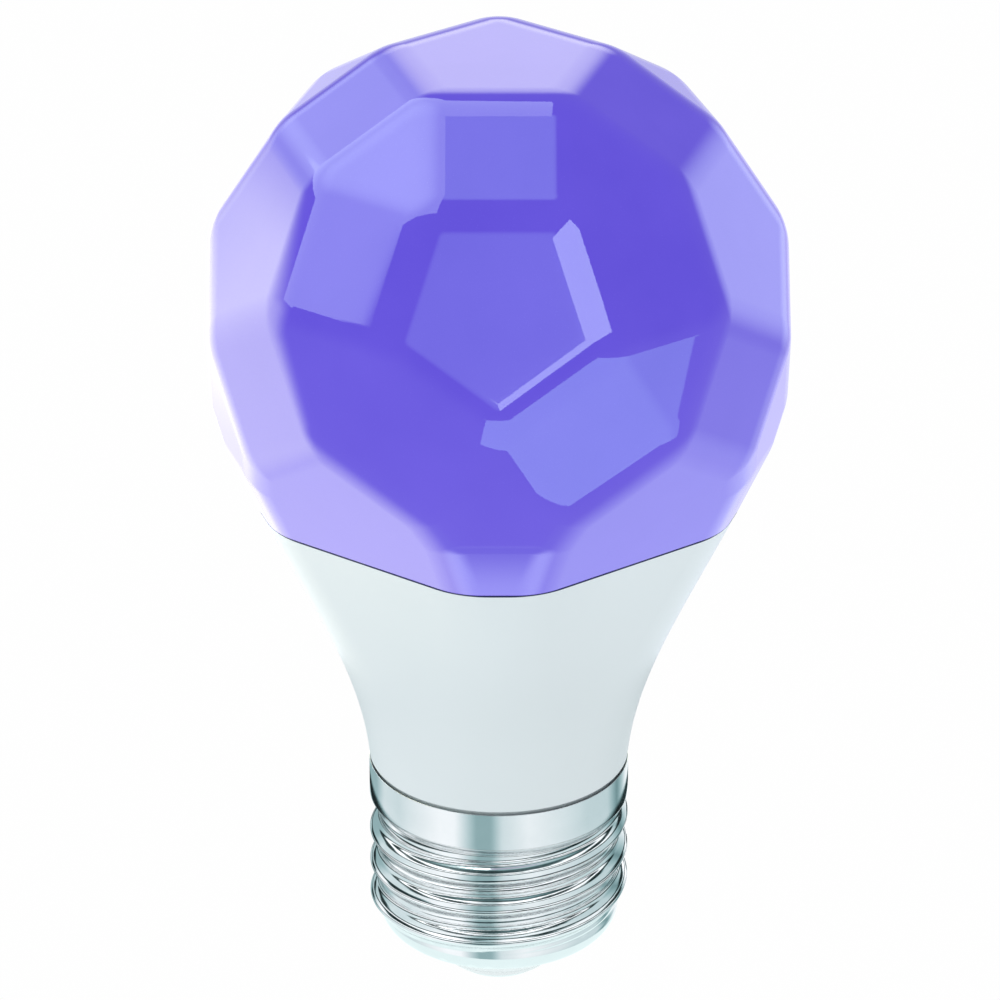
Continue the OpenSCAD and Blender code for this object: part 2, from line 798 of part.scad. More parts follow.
diffuser();
housing();
screw_shell();
cap_insulator();
centre_contact();
diffuser_glue();
cap_adhesive();
heat_sink();
thermal_pad();
led_board();
reflector_sheet();
warm_leds();
cool_leds();
colour_leds();
board_screws();
led_connector();
led_pins();
driver_board();
bulk_capacitor();
output_capacitor();
film_capacitor();
varistor();
choke_core();
choke_winding();
transformer_core();
transformer_bobbin();
transformer_winding();
bridge_rectifier();
driver_chip();
output_diode();
chip_resistors();
fuse_resistor();
fuse_sleeve();
component_leads();
radio_board();
radio_shield();
radio_antenna();
radio_pins();
live_lead();
neutral_lead();
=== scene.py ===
"""Looks of a smart light bulb: a faceted violet diffuser, a white housing and a nickel E27 cap."""

import json
import math

import bmesh
import bpy
import numpy as np
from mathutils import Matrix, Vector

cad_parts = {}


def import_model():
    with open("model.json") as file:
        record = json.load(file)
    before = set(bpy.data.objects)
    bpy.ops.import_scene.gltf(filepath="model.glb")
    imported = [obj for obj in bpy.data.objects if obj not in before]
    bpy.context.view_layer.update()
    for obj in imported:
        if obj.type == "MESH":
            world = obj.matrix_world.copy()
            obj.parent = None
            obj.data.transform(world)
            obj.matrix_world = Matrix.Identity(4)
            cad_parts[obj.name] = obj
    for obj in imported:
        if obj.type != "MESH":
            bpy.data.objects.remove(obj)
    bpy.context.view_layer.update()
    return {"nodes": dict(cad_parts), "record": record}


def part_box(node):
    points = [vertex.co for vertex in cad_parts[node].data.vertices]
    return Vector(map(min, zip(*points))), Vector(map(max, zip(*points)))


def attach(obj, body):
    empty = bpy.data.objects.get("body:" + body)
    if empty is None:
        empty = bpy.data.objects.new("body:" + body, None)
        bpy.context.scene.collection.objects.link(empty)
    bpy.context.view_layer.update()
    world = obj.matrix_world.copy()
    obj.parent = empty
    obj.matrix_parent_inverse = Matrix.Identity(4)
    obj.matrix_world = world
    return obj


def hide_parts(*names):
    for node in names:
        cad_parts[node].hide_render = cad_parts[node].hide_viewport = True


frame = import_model()
nodes = frame["nodes"]

MM = 0.001
FRONT = -90.0
FIFTH = 72.0
HALF_FIFTH = 36.0


def top_of(node):
    """Height of a node's top, in millimetres."""
    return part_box(node)[1].z / MM


def foot_of(node):
    """Height of a node's lowest point, in millimetres."""
    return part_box(node)[0].z / MM


# Driving dimensions, in millimetres
GLOBE_R = 30.0
EDGE_ROUND = 8.0
DIFFUSER_WALL = 2.0
SEAM_Z = top_of("housing")
GAP = 0.1
CORNER_R = 24.26
CORNER_SLOPE = 0.44
SEAM_ROUND = 9.0
HOUSING_WALL = 1.6
COLLAR_R = 13.1
COLLAR_Z = top_of("screw_shell")
COLLAR_H = 4.3
ROOT_R = 12.15
PITCH = 3.629
SHELL_WALL = 0.3
LIP_H = SEAM_Z - foot_of("diffuser")

# Regular solid that the globe is cut from
EDGE = 2 * GLOBE_R / math.sqrt(11 + 4 * math.sqrt(5))
PENTAGON_D = math.sqrt(GLOBE_R**2 - (EDGE / (2 * math.sin(math.radians(HALF_FIFTH)))) ** 2)
SQUARE_D = math.sqrt(GLOBE_R**2 - EDGE**2 / 2)
PENTAGON_TILT = math.degrees(math.atan(0.5))
PENTAGON_TO_SQUARE = math.degrees(math.atan(2 / (1 + math.sqrt(5))))
STRIP_TILT = math.degrees(math.atan(CORNER_SLOPE))
GLOBE_Z = top_of("diffuser") - PENTAGON_D


# --- Small geometry helpers ---
SAME_WAY = 1e-6


def cosd(a):
    return np.cos(np.radians(a))


def sind(a):
    return np.sin(np.radians(a))


def direction(az, el):
    """Unit vector at an azimuth from +X and an elevation, in degrees."""
    return np.array([cosd(el) * cosd(az), cosd(el) * sind(az), sind(el)])


def unit(v):
    return v / np.linalg.norm(v)


def turned(p, a):
    """Point p turned about the bulb's axis by a degrees."""
    return np.array([p[0] * cosd(a) - p[1] * sind(a), p[0] * sind(a) + p[1] * cosd(a), p[2]])


def slerp(a, b, t):
    """Unit vector a fraction t of the way along the arc from a to b."""
    angle = math.acos(max(-1.0, min(1.0, float(a @ b))))
    if angle < SAME_WAY:
        return a
    return (math.sin((1 - t) * angle) * a + math.sin(t * angle) * b) / math.sin(angle)


def meet(*planes):
    """Point where three planes, each a normal and a distance, meet."""
    return np.linalg.solve(np.array([n for n, _ in planes]), np.array([d for _, d in planes]))


def ring_loops(rings, first=0):
    """Point numbers of each ring, where the rings' points are numbered on from first."""
    size = len(rings[0])
    return [range(first + i * size, first + (i + 1) * size) for i in range(len(rings))]


def bands(loops):
    """Four-sided faces between each closed loop of point numbers and the next."""
    faces = []
    for upper, lower in zip(loops, loops[1:]):
        for i in range(len(upper)):
            j = (i + 1) % len(upper)
            faces.append([upper[i], upper[j], lower[j], lower[i]])
    return faces


def linked(name, data):
    """New object with the given mesh or camera, in the scene."""
    obj = bpy.data.objects.new(name, data)
    bpy.context.scene.collection.objects.link(obj)
    return obj


# --- Globe ---
ARC_STEPS = 12
PATCH_RINGS = 6
SAME_PLANE = 1e-4
# The normals of neighbouring pentagons have a dot product above this
NEIGHBOUR_DOT = 0.4
# Squares whose normals point further down than this give way to the strips
LOWEST_SQUARE = -0.1
# A direction that no corner of the globe faces
NO_CORNER_WAY = (0.3, 0.5, 0.8)


def five_ways(off, el):
    """Directions at one elevation: off degrees from the front, then every fifth of a turn."""
    return [direction(FRONT + off + FIFTH * k, el) for k in range(5)]


def pentagon_normals():
    """Top pentagon, five that tilt up and five that tilt down between them."""
    tilted = five_ways(0, PENTAGON_TILT) + five_ways(HALF_FIFTH, -PENTAGON_TILT)
    return [direction(0, 90)] + tilted


def globe_normals():
    """Normals of every flat face of the globe, with the plane that closes it below the seam."""
    pentagons = pentagon_normals()
    near = [[a @ b > NEIGHBOUR_DOT for b in pentagons] for a in pentagons]
    squares = []
    triangles = []
    for i in range(len(pentagons)):
        for j in range(i + 1, len(pentagons)):
            if not near[i][j]:
                continue
            square = unit(pentagons[i] + pentagons[j])
            if square[2] > LOWEST_SQUARE:
                squares.append(square)
            for k in range(j + 1, len(pentagons)):
                if near[i][k] and near[j][k]:
                    triangles.append(unit(pentagons[i] + pentagons[j] + pentagons[k]))
    return pentagons + squares + triangles + five_ways(0, -STRIP_TILT) + [direction(0, -90)]


def globe_corners():
    """Corners of the core that a ball of EDGE_ROUND rolls over, about the globe's centre."""
    pentagon_d = PENTAGON_D - EDGE_ROUND
    square_d = SQUARE_D - EDGE_ROUND
    pentagon_r = (square_d - pentagon_d * cosd(PENTAGON_TO_SQUARE)) / (
        sind(PENTAGON_TO_SQUARE) * cosd(HALF_FIFTH)
    )

    def pentagon_corner(az, el, a):
        across = direction(az, el + 90) * cosd(a) + direction(az + 90, 0) * sind(a)
        return direction(az, el) * pentagon_d + across * pentagon_r

    below = SEAM_Z - GLOBE_Z
    low_pentagons = [direction(FRONT + HALF_FIFTH * side, -PENTAGON_TILT) for side in (-1, 1)]
    triangle = unit(direction(FRONT, PENTAGON_TILT) + low_pentagons[0] + low_pentagons[1])
    triangle_d = triangle @ pentagon_corner(FRONT, PENTAGON_TILT, 180)
    strip = direction(FRONT, -STRIP_TILT)
    strip_d = strip @ np.array([0, -CORNER_R, below]) - EDGE_ROUND
    corners = []
    for k in range(5):
        up = FRONT + FIFTH * k
        down = up + HALF_FIFTH
        corners.append(pentagon_corner(0, 90, 18 + FIFTH * k))
        corners += [pentagon_corner(up, PENTAGON_TILT, a) for a in range(36, 325, 72)]
        corners += [pentagon_corner(down, -PENTAGON_TILT, a) for a in (-72, 0, 72)]
        for low in low_pentagons:
            top = meet((triangle, triangle_d), (strip, strip_d), (low, pentagon_d))
            foot = meet((np.array([0, 0, 1.0]), below), (strip, strip_d), (low, pentagon_d))
            corners += [turned(top, FIFTH * k), turned(foot, FIFTH * k)]
    return np.array(corners)


def globe_faces(corners, normals):
    """Corner indices of each flat face, in order around its normal."""
    faces = []
    for n in normals:
        heights = corners @ n
        members = [i for i in range(len(corners)) if heights[i] > heights.max() - SAME_PLANE]
        centre = corners[members].mean(axis=0)
        u = unit(corners[members[0]] - centre)
        w = np.cross(n, u)
        around = [math.atan2((corners[i] - centre) @ w, (corners[i] - centre) @ u) for i in members]
        faces.append([members[i] for i in np.argsort(around)])
    return faces


class RoundedSurface:
    """Surface of a ball rolled over a convex core: flat faces, round edges and round corners."""

    def __init__(self, corners, normals, faces, ball_r):
        self.corners = corners
        self.normals = normals
        self.ball_r = ball_r
        self.points = []
        self.point_normals = []
        self.polygons = []
        self.known = {}
        sides = {}
        for f, face in enumerate(faces):
            self.polygons.append([self.on_face(v, f) for v in face])
            for a, b in zip(face, face[1:] + face[:1]):
                sides.setdefault((min(a, b), max(a, b)), []).append(f)
        for (a, b), (f, g) in sides.items():
            self.add_edge(a, b, f, g)
        for v in range(len(corners)):
            self.add_corner(v, [f for f, face in enumerate(faces) if v in face])

    def point(self, key, v, normal):
        if key not in self.known:
            self.known[key] = len(self.points)
            self.points.append(self.corners[v] + normal * self.ball_r)
            self.point_normals.append(normal)
        return self.known[key]

    def on_face(self, v, f):
        return self.point((v, f), v, self.normals[f])

    def on_arc(self, v, f, g, step):
        """Point on the arc at corner v from face f to face g."""
        if f > g:
            return self.on_arc(v, g, f, ARC_STEPS - step)
        if step == 0:
            return self.on_face(v, f)
        if step == ARC_STEPS:
            return self.on_face(v, g)
        return self.point((v, f, g, step), v, slerp(self.normals[f], self.normals[g], step / ARC_STEPS))

    def add_edge(self, a, b, f, g):
        for i in range(ARC_STEPS):
            self.polygons.append([
                self.on_arc(a, f, g, i), self.on_arc(b, f, g, i),
                self.on_arc(b, f, g, i + 1), self.on_arc(a, f, g, i + 1),
            ])

    def add_corner(self, v, around):
        middle = unit(sum(self.normals[f] for f in around))
        u = unit(np.cross(middle, NO_CORNER_WAY))
        w = np.cross(middle, u)
        around.sort(key=lambda f: math.atan2(self.normals[f] @ w, self.normals[f] @ u))
        loop = [
            self.on_arc(v, f, g, step)
            for f, g in zip(around, around[1:] + around[:1])
            for step in range(ARC_STEPS)
        ]
        rim = [self.point_normals[i] for i in loop]
        for step in range(1, PATCH_RINGS):
            part = step / PATCH_RINGS
            inner = [
                self.point((v, "ring", step, i), v, slerp(n, middle, part)) for i, n in enumerate(rim)
            ]
            self.polygons += bands([loop, inner])
            loop = inner
        tip = self.point((v, "tip"), v, middle)
        self.polygons += [[a, b, tip] for a, b in zip(loop, loop[1:] + loop[:1])]


def cut_surface(surface, height):
    """The surface above a height: its points, their exact normals, its faces and its lower rim."""
    bm = bmesh.new()
    layer = bm.verts.layers.float_vector.new("exact_normal")
    verts = []
    for p, n in zip(surface.points, surface.point_normals):
        vert = bm.verts.new(p)
        vert[layer] = n
        verts.append(vert)
    for polygon in surface.polygons:
        bm.faces.new([verts[i] for i in polygon])
    bmesh.ops.recalc_face_normals(bm, faces=bm.faces)
    geom = [*bm.verts, *bm.edges, *bm.faces]
    bmesh.ops.bisect_plane(bm, geom=geom, plane_co=(0, 0, height), plane_no=(0, 0, 1), clear_inner=True)
    bm.verts.index_update()
    points = np.array([v.co[:] for v in bm.verts])
    normals = np.array([v[layer].normalized()[:] for v in bm.verts])
    faces = [[v.index for v in f.verts] for f in bm.faces]
    rim = {}
    for edge in bm.edges:
        if edge.is_boundary:
            loop = edge.link_loops[0]
            rim[loop.link_loop_next.vert.index] = loop.vert.index
    bm.free()
    order = [next(iter(rim))]
    while rim[order[-1]] != order[0]:
        order.append(rim[order[-1]])
    return points, normals, faces, order


def mesh_object(name, points, faces, exact=()):
    """Smooth-shaded object from points in millimetres; exact pairs a first point with normals."""
    mesh = bpy.data.meshes.new(name)
    mesh.from_pydata((np.asarray(points) * MM).tolist(), [], faces, shade_flat=False)
    mesh.update()
    if exact:
        normals = np.zeros(len(points) * 3, np.float32)
        mesh.vertex_normals.foreach_get("vector", normals)
        normals = normals.reshape(-1, 3)
        for start, values in exact:
            normals[start:start + len(values)] = values
        mesh.normals_split_custom_set_from_vertices(normals)
    return linked(name, mesh)


def rim_rings(points, normals, rim, profile):
    """Rings below the rim: each profile entry is an inset from the rim and a height."""
    flat = normals[rim][:, :2]
    flat = flat / np.linalg.norm(flat, axis=1)[:, None]
    return [np.c_[points[rim][:, :2] - flat * inset, np.full(len(rim), z)] for inset, z in profile]


SEAM_EDGE = 0.15
LIP_OUTER = 2.1
LIP_INNER = 3.5
LIP_ROOT = 1.4
LIP_FILLET = 0.1
LIP_CHAMFER = 0.2


def globe_skin():
    """Diffuser as one closed shell: facets outside, the same facets inside, and its lip."""
    corners = globe_corners()
    normals = globe_normals()
    faces = globe_faces(corners, normals)
    surface = RoundedSurface(corners, normals, faces, EDGE_ROUND)
    bottom = SEAM_Z + GAP - GLOBE_Z
    points, exact, polygons, rim = cut_surface(surface, bottom + SEAM_EDGE)
    inner = points - exact * DIFFUSER_WALL
    count = len(points)
    profile = [
        (SEAM_EDGE * (1 - cosd(a)), bottom + SEAM_EDGE * (1 - sind(a))) for a in (20, 40, 60, 80, 90)
    ]
    lip_foot = bottom - GAP - LIP_H
    profile += [
        (LIP_OUTER - LIP_FILLET, bottom), (LIP_OUTER, bottom - LIP_FILLET),
        (LIP_OUTER, lip_foot + LIP_CHAMFER), (LIP_OUTER + LIP_CHAMFER, lip_foot),
        (LIP_INNER - LIP_CHAMFER, lip_foot), (LIP_INNER, lip_foot + LIP_CHAMFER),
        (LIP_INNER, bottom + LIP_ROOT - GAP),
    ]
    rings = rim_rings(points, exact, rim, profile)
    all_points = np.vstack([points, inner] + rings)
    all_faces = list(polygons) + [[i + count for i in reversed(f)] for f in polygons]
    all_faces += bands([rim] + ring_loops(rings, 2 * count) + [[i + count for i in rim]])
    all_points[:, 2] += GLOBE_Z
    return mesh_object("globe_skin", all_points, all_faces, [(0, exact), (count, -exact)])


# --- Lofted shells ---
COLUMNS = 360
LATHE_COLUMNS = 144


def loft(name, rings, exact_rows=()):
    """Closed shell from rings of points that each go round the axis; the last joins the first."""
    loops = ring_loops(rings)
    exact = [(loops[row][0], values) for row, values in exact_rows]
    return mesh_object(name, np.vstack(rings), bands(loops + loops[:1]), exact)


def azimuths(columns):
    return np.arange(columns) * 360.0 / columns


def ring(r, az, z):
    """Points at each azimuth and one height; r is one radius or one for each azimuth."""
    return np.c_[r * cosd(az), r * sind(az), np.full(len(az), z)]


def circle(r, z, columns=COLUMNS):
    return ring(r, azimuths(columns), z)


def corner_arc(r, z, size, start, end, steps=4):
    """Points of a small round corner about (r, z), from one angle to another."""
    angles = [start + (end - start) * i / steps for i in range(steps + 1)]
    return [(r + size * cosd(a), z + size * sind(a)) for a in angles]


# Section of the housing: five faces and five corner flats joined by fillets
NECK_R = COLLAR_R - 0.07
NECK_SLOPE = 0.08
LEAST_FILLET = 1.0
SLOPE_STEP = 0.05
HOUSING_Z = COLLAR_Z + GAP
HOUSING_H = SEAM_Z - HOUSING_Z
FACE_R_SEAM = (PENTAGON_D + (SEAM_Z - GLOBE_Z) * sind(PENTAGON_TILT)) / cosd(PENTAGON_TILT)
FACE_SLOPE = math.tan(math.radians(PENTAGON_TILT))


def blend(t, a, b, slope_a, slope_b):
    """Cubic from a to b with the given slopes at its ends, as t goes from 0 to 1."""
    return (
        (2 * t**3 - 3 * t**2 + 1) * a + (t**3 - 2 * t**2 + t) * HOUSING_H * slope_a
        + (3 * t**2 - 2 * t**3) * b + (t**3 - t**2) * HOUSING_H * slope_b
    )


def section_sizes(z, inset):
    """Face distance, corner flat distance and fillet of the housing's section at a height."""
    t = (z - HOUSING_Z) / HOUSING_H
    face = blend(t, NECK_R, FACE_R_SEAM, NECK_SLOPE, FACE_SLOPE) - inset
    flat = blend(t, NECK_R, CORNER_R, NECK_SLOPE, CORNER_SLOPE) - inset
    fillet = max(NECK_R + (SEAM_ROUND - NECK_R) * t - inset, LEAST_FILLET)
    return face, flat, fillet


def section(z, inset):
    """Outline of the housing at a height, moved in by inset: points and outward angles."""
    face, flat, fillet = section_sizes(z, inset)
    az = azimuths(COLUMNS)
    from_corner = (az - FRONT + HALF_FIFTH) % FIFTH - HALF_FIFTH
    side = np.sign(from_corner)
    delta = np.abs(from_corner)
    cx = flat - fillet
    cy = (face - fillet - cx * cosd(HALF_FIFTH)) / sind(HALF_FIFTH)
    end = (cx + fillet * cosd(HALF_FIFTH), cy + fillet * sind(HALF_FIFTH))
    along = cx * cosd(delta) + cy * sind(delta)
    radius = along + np.sqrt(np.maximum(along**2 - cx**2 - cy**2 + fillet**2, 0))
    facing = np.degrees(np.arctan2(radius * sind(delta) - cy, radius * cosd(delta) - cx))
    on_flat = delta <= math.degrees(math.atan2(cy, flat))
    on_face = delta >= math.degrees(math.atan2(end[1], end[0]))
    radius = np.where(on_flat, flat / cosd(delta), radius)
    radius = np.where(on_face, face / cosd(HALF_FIFTH - delta), radius)
    facing = np.where(on_flat, 0.0, np.where(on_face, HALF_FIFTH, facing))
    return ring(radius, az, z), az - from_corner + side * facing


def section_at(z, inset):
    """Section of the seam, moved in by inset, at another height."""
    points = section(SEAM_Z, inset)[0]
    points[:, 2] = z
    return points


def housing_normals(z):
    """Outward normals of the housing's side at a height."""
    facing = section(z, 0)[1]
    above = section(z + SLOPE_STEP, 0)[0]
    below = section(z - SLOPE_STEP, 0)[0]
    outward = np.c_[cosd(facing), sind(facing)]
    rise = ((above - below)[:, :2] * outward).sum(axis=1) / (2 * SLOPE_STEP)
    normals = np.c_[outward, -rise]
    return normals / np.linalg.norm(normals, axis=1)[:, None]


SIDE_ROWS = 70
CAVITY_ROWS = 24
COLLAR_GAP = 0.1
NECK_OUTER_R = 12.7
NECK_STEP_Z = 20.5
SLEEVE_R = 11.7
BORE_R = 10.4
HOUSING_EDGE = 0.15
POCKET_DEPTH = 2.3
POCKET_INSET = 2.0
POCKET_TAPER = 0.8
BORE_CHAMFER = 0.2
NECK_CHAMFER = 0.04


def housing_skin():
    """Housing as one closed shell: its side, the seam's pocket, the cavity, the bore and the neck."""
    foot = foot_of("housing")
    start = HOUSING_Z + COLLAR_GAP
    heights = np.linspace(start + HOUSING_EDGE, SEAM_Z - HOUSING_EDGE, SIDE_ROWS)
    rings = [section(z, 0)[0] for z in heights]
    exact = [(row, housing_normals(z)) for row, z in enumerate(heights)]
    for a in (22.5, 45, 67.5, 90):
        rings.append(section_at(SEAM_Z - HOUSING_EDGE * (1 - sind(a)), HOUSING_EDGE * (1 - cosd(a))))
    pocket_z = SEAM_Z - POCKET_DEPTH
    pocket = [(SEAM_Z, HOUSING_WALL), (SEAM_Z - POCKET_TAPER, POCKET_INSET), (pocket_z, POCKET_INSET)]
    rings += [section_at(z, inset) for z, inset in pocket]
    floor_z = HOUSING_Z + HOUSING_WALL
    rings += [section(z, HOUSING_WALL)[0] for z in np.linspace(pocket_z, floor_z, CAVITY_ROWS)]
    bore = [
        (BORE_R, floor_z), (BORE_R, foot + BORE_CHAMFER), (BORE_R + BORE_CHAMFER, foot),
        (SLEEVE_R - BORE_CHAMFER, foot), (SLEEVE_R, foot + BORE_CHAMFER),
    ]
    neck = [
        (SLEEVE_R, NECK_STEP_Z), (NECK_OUTER_R, NECK_STEP_Z), (NECK_OUTER_R, start),
        (NECK_R - HOUSING_EDGE, start), (NECK_R - NECK_CHAMFER, start + NECK_CHAMFER),
    ]
    rings += [circle(r, z) for r, z in bore + neck]
    return loft("housing_skin", rings, exact)


# Rolled screw shell
SHELL_COLUMNS = 288
THREAD_START = 90.0
THREAD_END = 1170.0
THREAD_FADE = 75.0
THREAD_LOW_Z = 8.54
THREAD_LOW_AZ = 180.0
RIDGE_HALF_W = 1.62
RIDGE_H = 0.95
RIM_ROUND = 2.55
RIM_Z = 7.4
RIM_END = 76.0
THROAT_Z = 19.1
LAST_TURN = math.ceil(THREAD_END / 360)
THREAD_ROW = 0.1
INNER_ROW = 0.3
COLLAR_BEND = 0.25


def ridge(az, z):
    """Height of the thread above its root at an azimuth and a height."""
    height = np.zeros_like(az)
    for turn in range(LAST_TURN):
        wound = az % 360 + 360 * turn
        crest = THREAD_LOW_Z + PITCH * (wound - THREAD_LOW_AZ) / 360
        fade = np.minimum(1, np.minimum(wound - THREAD_START, THREAD_END - wound) / THREAD_FADE)
        fade = np.clip(fade, 0, 1)
        fade = fade * fade * (3 - 2 * fade)
        across = np.clip((z - crest) / RIDGE_HALF_W, -1, 1)
        height = np.maximum(height, RIDGE_H * fade * (1 + cosd(180 * across)) / 2)
    return height


def shell_ring(r, z):
    az = azimuths(SHELL_COLUMNS)
    return ring(r + ridge(az, z), az, z)


def shell_skin():
    """Screw shell: a rolled sheet with its collar, the thread and the rim turned in below."""
    collar_foot = COLLAR_Z - COLLAR_H
    rim_top = COLLAR_Z - COLLAR_GAP
    # Rings close together below the collar's edge, so that its shading stays flat
    outer = [(COLLAR_R - 0.01, rim_top)]
    outer += [(COLLAR_R, rim_top - drop) for drop in (0.02, 0.06, 0.12)]
    outer += [(COLLAR_R, collar_foot + COLLAR_BEND + 0.1)]
    outer += corner_arc(COLLAR_R - COLLAR_BEND, collar_foot + COLLAR_BEND, COLLAR_BEND, 0, -42, 5)
    outer += [(ROOT_R + 0.12, THROAT_Z + THREAD_ROW), (ROOT_R + 0.03, THROAT_Z)]
    outer += [(ROOT_R, z) for z in np.arange(THROAT_Z - THREAD_ROW, RIM_Z, -THREAD_ROW)]
    outer += corner_arc(ROOT_R - RIM_ROUND, RIM_Z, RIM_ROUND, 0, -RIM_END, 24)
    rim_r, rim_z = outer[-1]
    turned_in = [(rim_r - back, rim_z + up) for back, up in ((0.1, 0.02), (0.14, 0.15), (0.05, 0.27))]
    inner_r = ROOT_R - SHELL_WALL
    inner = corner_arc(ROOT_R - RIM_ROUND, RIM_Z, RIM_ROUND - SHELL_WALL, -RIM_END + 4, 0, 10)
    inner += [(inner_r, z) for z in np.arange(RIM_Z + INNER_ROW, THROAT_Z, INNER_ROW)]
    inner += [(COLLAR_R - SHELL_WALL, collar_foot - 0.1), (COLLAR_R - SHELL_WALL, rim_top - 0.22)]
    inner += [(COLLAR_R - 0.06, rim_top - 0.04)]
    return loft("shell_skin", [shell_ring(r, z) for r, z in outer + turned_in + inner])


def lathe(name, profile):
    """Closed shell from a closed profile of radii and heights."""
    return loft(name, [circle(r, z, LATHE_COLUMNS) for r, z in profile])


# Insulator and contact
HOLE_R = 1.55
HOLE_SINK = 0.8
DISC_R = 5.2
DISC_ROUND = 0.35
PLATE_R = 4.25
PLATE_ROUND = 0.35
PLATE_LIFT = 0.4
PIN_R = 1.5


def insulator_skin():
    """Glazed disc that holds the contact, with round edges and a shallow ring groove."""
    low = foot_of("cap_insulator")
    high = top_of("cap_insulator")
    hole_top = high - HOLE_SINK
    profile = [(HOLE_R, low), (DISC_R, low)]
    profile += corner_arc(DISC_R, low + DISC_ROUND, DISC_ROUND, -90, -40)
    profile += [(6.2, 1.95), (6.35, 2.15), (6.5, 2.25), (6.7, 2.3), (6.95, 2.55), (8, 3.5), (9.4, 4.45)]
    profile += corner_arc(9.6, 4.95, 0.3, -60, 0)
    profile += [(9.9, 6.2), (9.0, high), (3.2, high), (3.2, hole_top), (HOLE_R, hole_top)]
    return lathe("insulator_skin", profile)


def contact_skin():
    """Contact plate with a round edge and the solder dome over its middle."""
    low = foot_of("centre_contact")
    pin_top = top_of("centre_contact")
    profile = [(0.01, low), (0.9, low + 0.02), (1.6, low + 0.1), (2.1, low + 0.24), (2.4, low + 0.36)]
    profile += [(2.6, low + PLATE_LIFT), (3.7, low + PLATE_LIFT)]
    profile += corner_arc(PLATE_R, low + PLATE_LIFT + PLATE_ROUND, PLATE_ROUND, -90, 90, 8)
    profile += [(PIN_R, 1.1), (PIN_R, pin_top - 0.2), (PIN_R - 0.2, pin_top), (0.01, pin_top)]
    return lathe("contact_skin", profile)


# --- Materials ---
class Nodes:
    """The node tree of a material or a world, with short ways to add to it."""

    def __init__(self, owner):
        owner.use_nodes = True
        self.tree = owner.node_tree

    def give(self, socket, value):
        """Sets an input to a constant, or links it to another node's output."""
        if isinstance(value, bpy.types.NodeSocket):
            self.tree.links.new(value, socket)
        else:
            socket.default_value = value

    def feed(self, socket, value):
        """Gives a value to an input of the material's own shader."""
        self.give(self.shader.inputs[socket], value)

    def node(self, kind, inputs=None, **settings):
        made = self.tree.nodes.new("ShaderNode" + kind)
        for key, value in settings.items():
            setattr(made, key, value)
        for socket, value in (inputs or {}).items():
            self.give(made.inputs[socket], value)
        return made

    def split(self, vector):
        """The X, Y and Z of a vector."""
        return self.node("SeparateXYZ", {"Vector": vector}).outputs

    def maths(self, operation, a, b=0.0):
        return self.node("Math", {0: a, 1: b}, operation=operation).outputs[0]

    def times(self, a, b):
        return self.maths("MULTIPLY", a, b)

    def vector(self, operation, a, b=(0.0, 0.0, 0.0)):
        """Result of a vector operation: a number if it is a length or a dot product."""
        made = self.node("VectorMath", {0: a, 1: b}, operation=operation)
        return made.outputs["Value" if operation in ("LENGTH", "DOT_PRODUCT") else "Vector"]

    def ramp(self, value, low, high, to_low=0.0, to_high=1.0):
        """Smooth step from one level to another as value goes from low to high."""
        made = self.node("MapRange", {
            "Value": value, "From Min": low, "From Max": high, "To Min": to_low, "To Max": to_high,
        }, interpolation_type="SMOOTHSTEP")
        return made.outputs["Result"]


class Look(Nodes):
    """A procedural material: one Principled shader and the nodes that vary it."""

    def __init__(self, name, **sockets):
        self.material = bpy.data.materials.new(name)
        super().__init__(self.material)
        self.shader = self.tree.nodes["Principled BSDF"]
        self.place = self.node("TexCoord").outputs["Object"]
        self.last_bump = None
        for socket, value in sockets.items():
            self.feed(socket.replace("_", " "), value)

    def noise(self, size, detail=3.0, roughness=0.5, stretch=None):
        """Cloudy noise with features about size millimetres across, from 0 to 1."""
        place = self.place
        if stretch:
            place = self.node("Mapping", {"Vector": place, "Scale": stretch}).outputs[0]
        made = self.node("TexNoise", {
            "Vector": place, "Scale": 1 / (size * MM), "Detail": detail, "Roughness": roughness,
        })
        return made.outputs["Fac"]

    def cells(self, size, feature="F1"):
        """Distance into cells about size millimetres across."""
        made = self.node("TexVoronoi", {"Vector": self.place, "Scale": 1 / (size * MM)}, feature=feature)
        return made.outputs["Distance"]

    def waves(self, size, axis, distortion):
        """Bands along an axis, size millimetres apart, from 0 to 1."""
        made = self.node("TexWave", {
            "Vector": self.place, "Scale": math.pi / (10 * size * MM), "Distortion": distortion,
            "Detail": 2.0,
        }, bands_direction=axis)
        return made.outputs["Fac"]

    def spread(self, noise, low, high):
        """Noise spread from low to high; most of it lies between 0.3 and 0.7."""
        return self.ramp(noise, 0.3, 0.7, low, high)

    def paint(self, colour, roughness):
        self.feed("Base Color", colour)
        self.feed("Roughness", roughness)

    def mix(self, factor, a, b):
        """Colour between a and b."""
        a, b = (v if isinstance(v, bpy.types.NodeSocket) else (*v, 1.0) for v in (a, b))
        return self.node("Mix", {"Factor": factor, 6: a, 7: b}, data_type="RGBA").outputs[2]

    def bump(self, height, depth, strength):
        """Raises the surface by depth millimetres where height is 1; calls add up."""
        inputs = {"Height": height, "Distance": depth * MM, "Strength": strength}
        if self.last_bump:
            inputs["Normal"] = self.last_bump
        self.last_bump = self.node("Bump", inputs).outputs["Normal"]
        self.feed("Normal", self.last_bump)

    def worn(self, amount):
        """Amount of wear at a spot: nothing on flat surfaces and all of it on outer edges."""
        pointed = self.node("NewGeometry").outputs["Pointiness"]
        return self.times(self.ramp(pointed, 0.5, 0.56), amount)

    def height(self):
        """Height above the contact's tip, in metres."""
        return self.split(self.place)["Z"]


# Heights between which the glow changes, then the painted shade at the seam: the glow fading out
# over the globe's rim, and the dark band painted on the housing's top; both are measured from the
# edge that they are at
GLOW_FOOT = 50.0
GLOW_TOP = 85.0
GLOW_SHADE_BELOW = 0.05
GLOW_SHADE_ABOVE = 0.2
SEAM_SHADE_LOW = 0.13
SEAM_SHADE_HIGH = 0.05


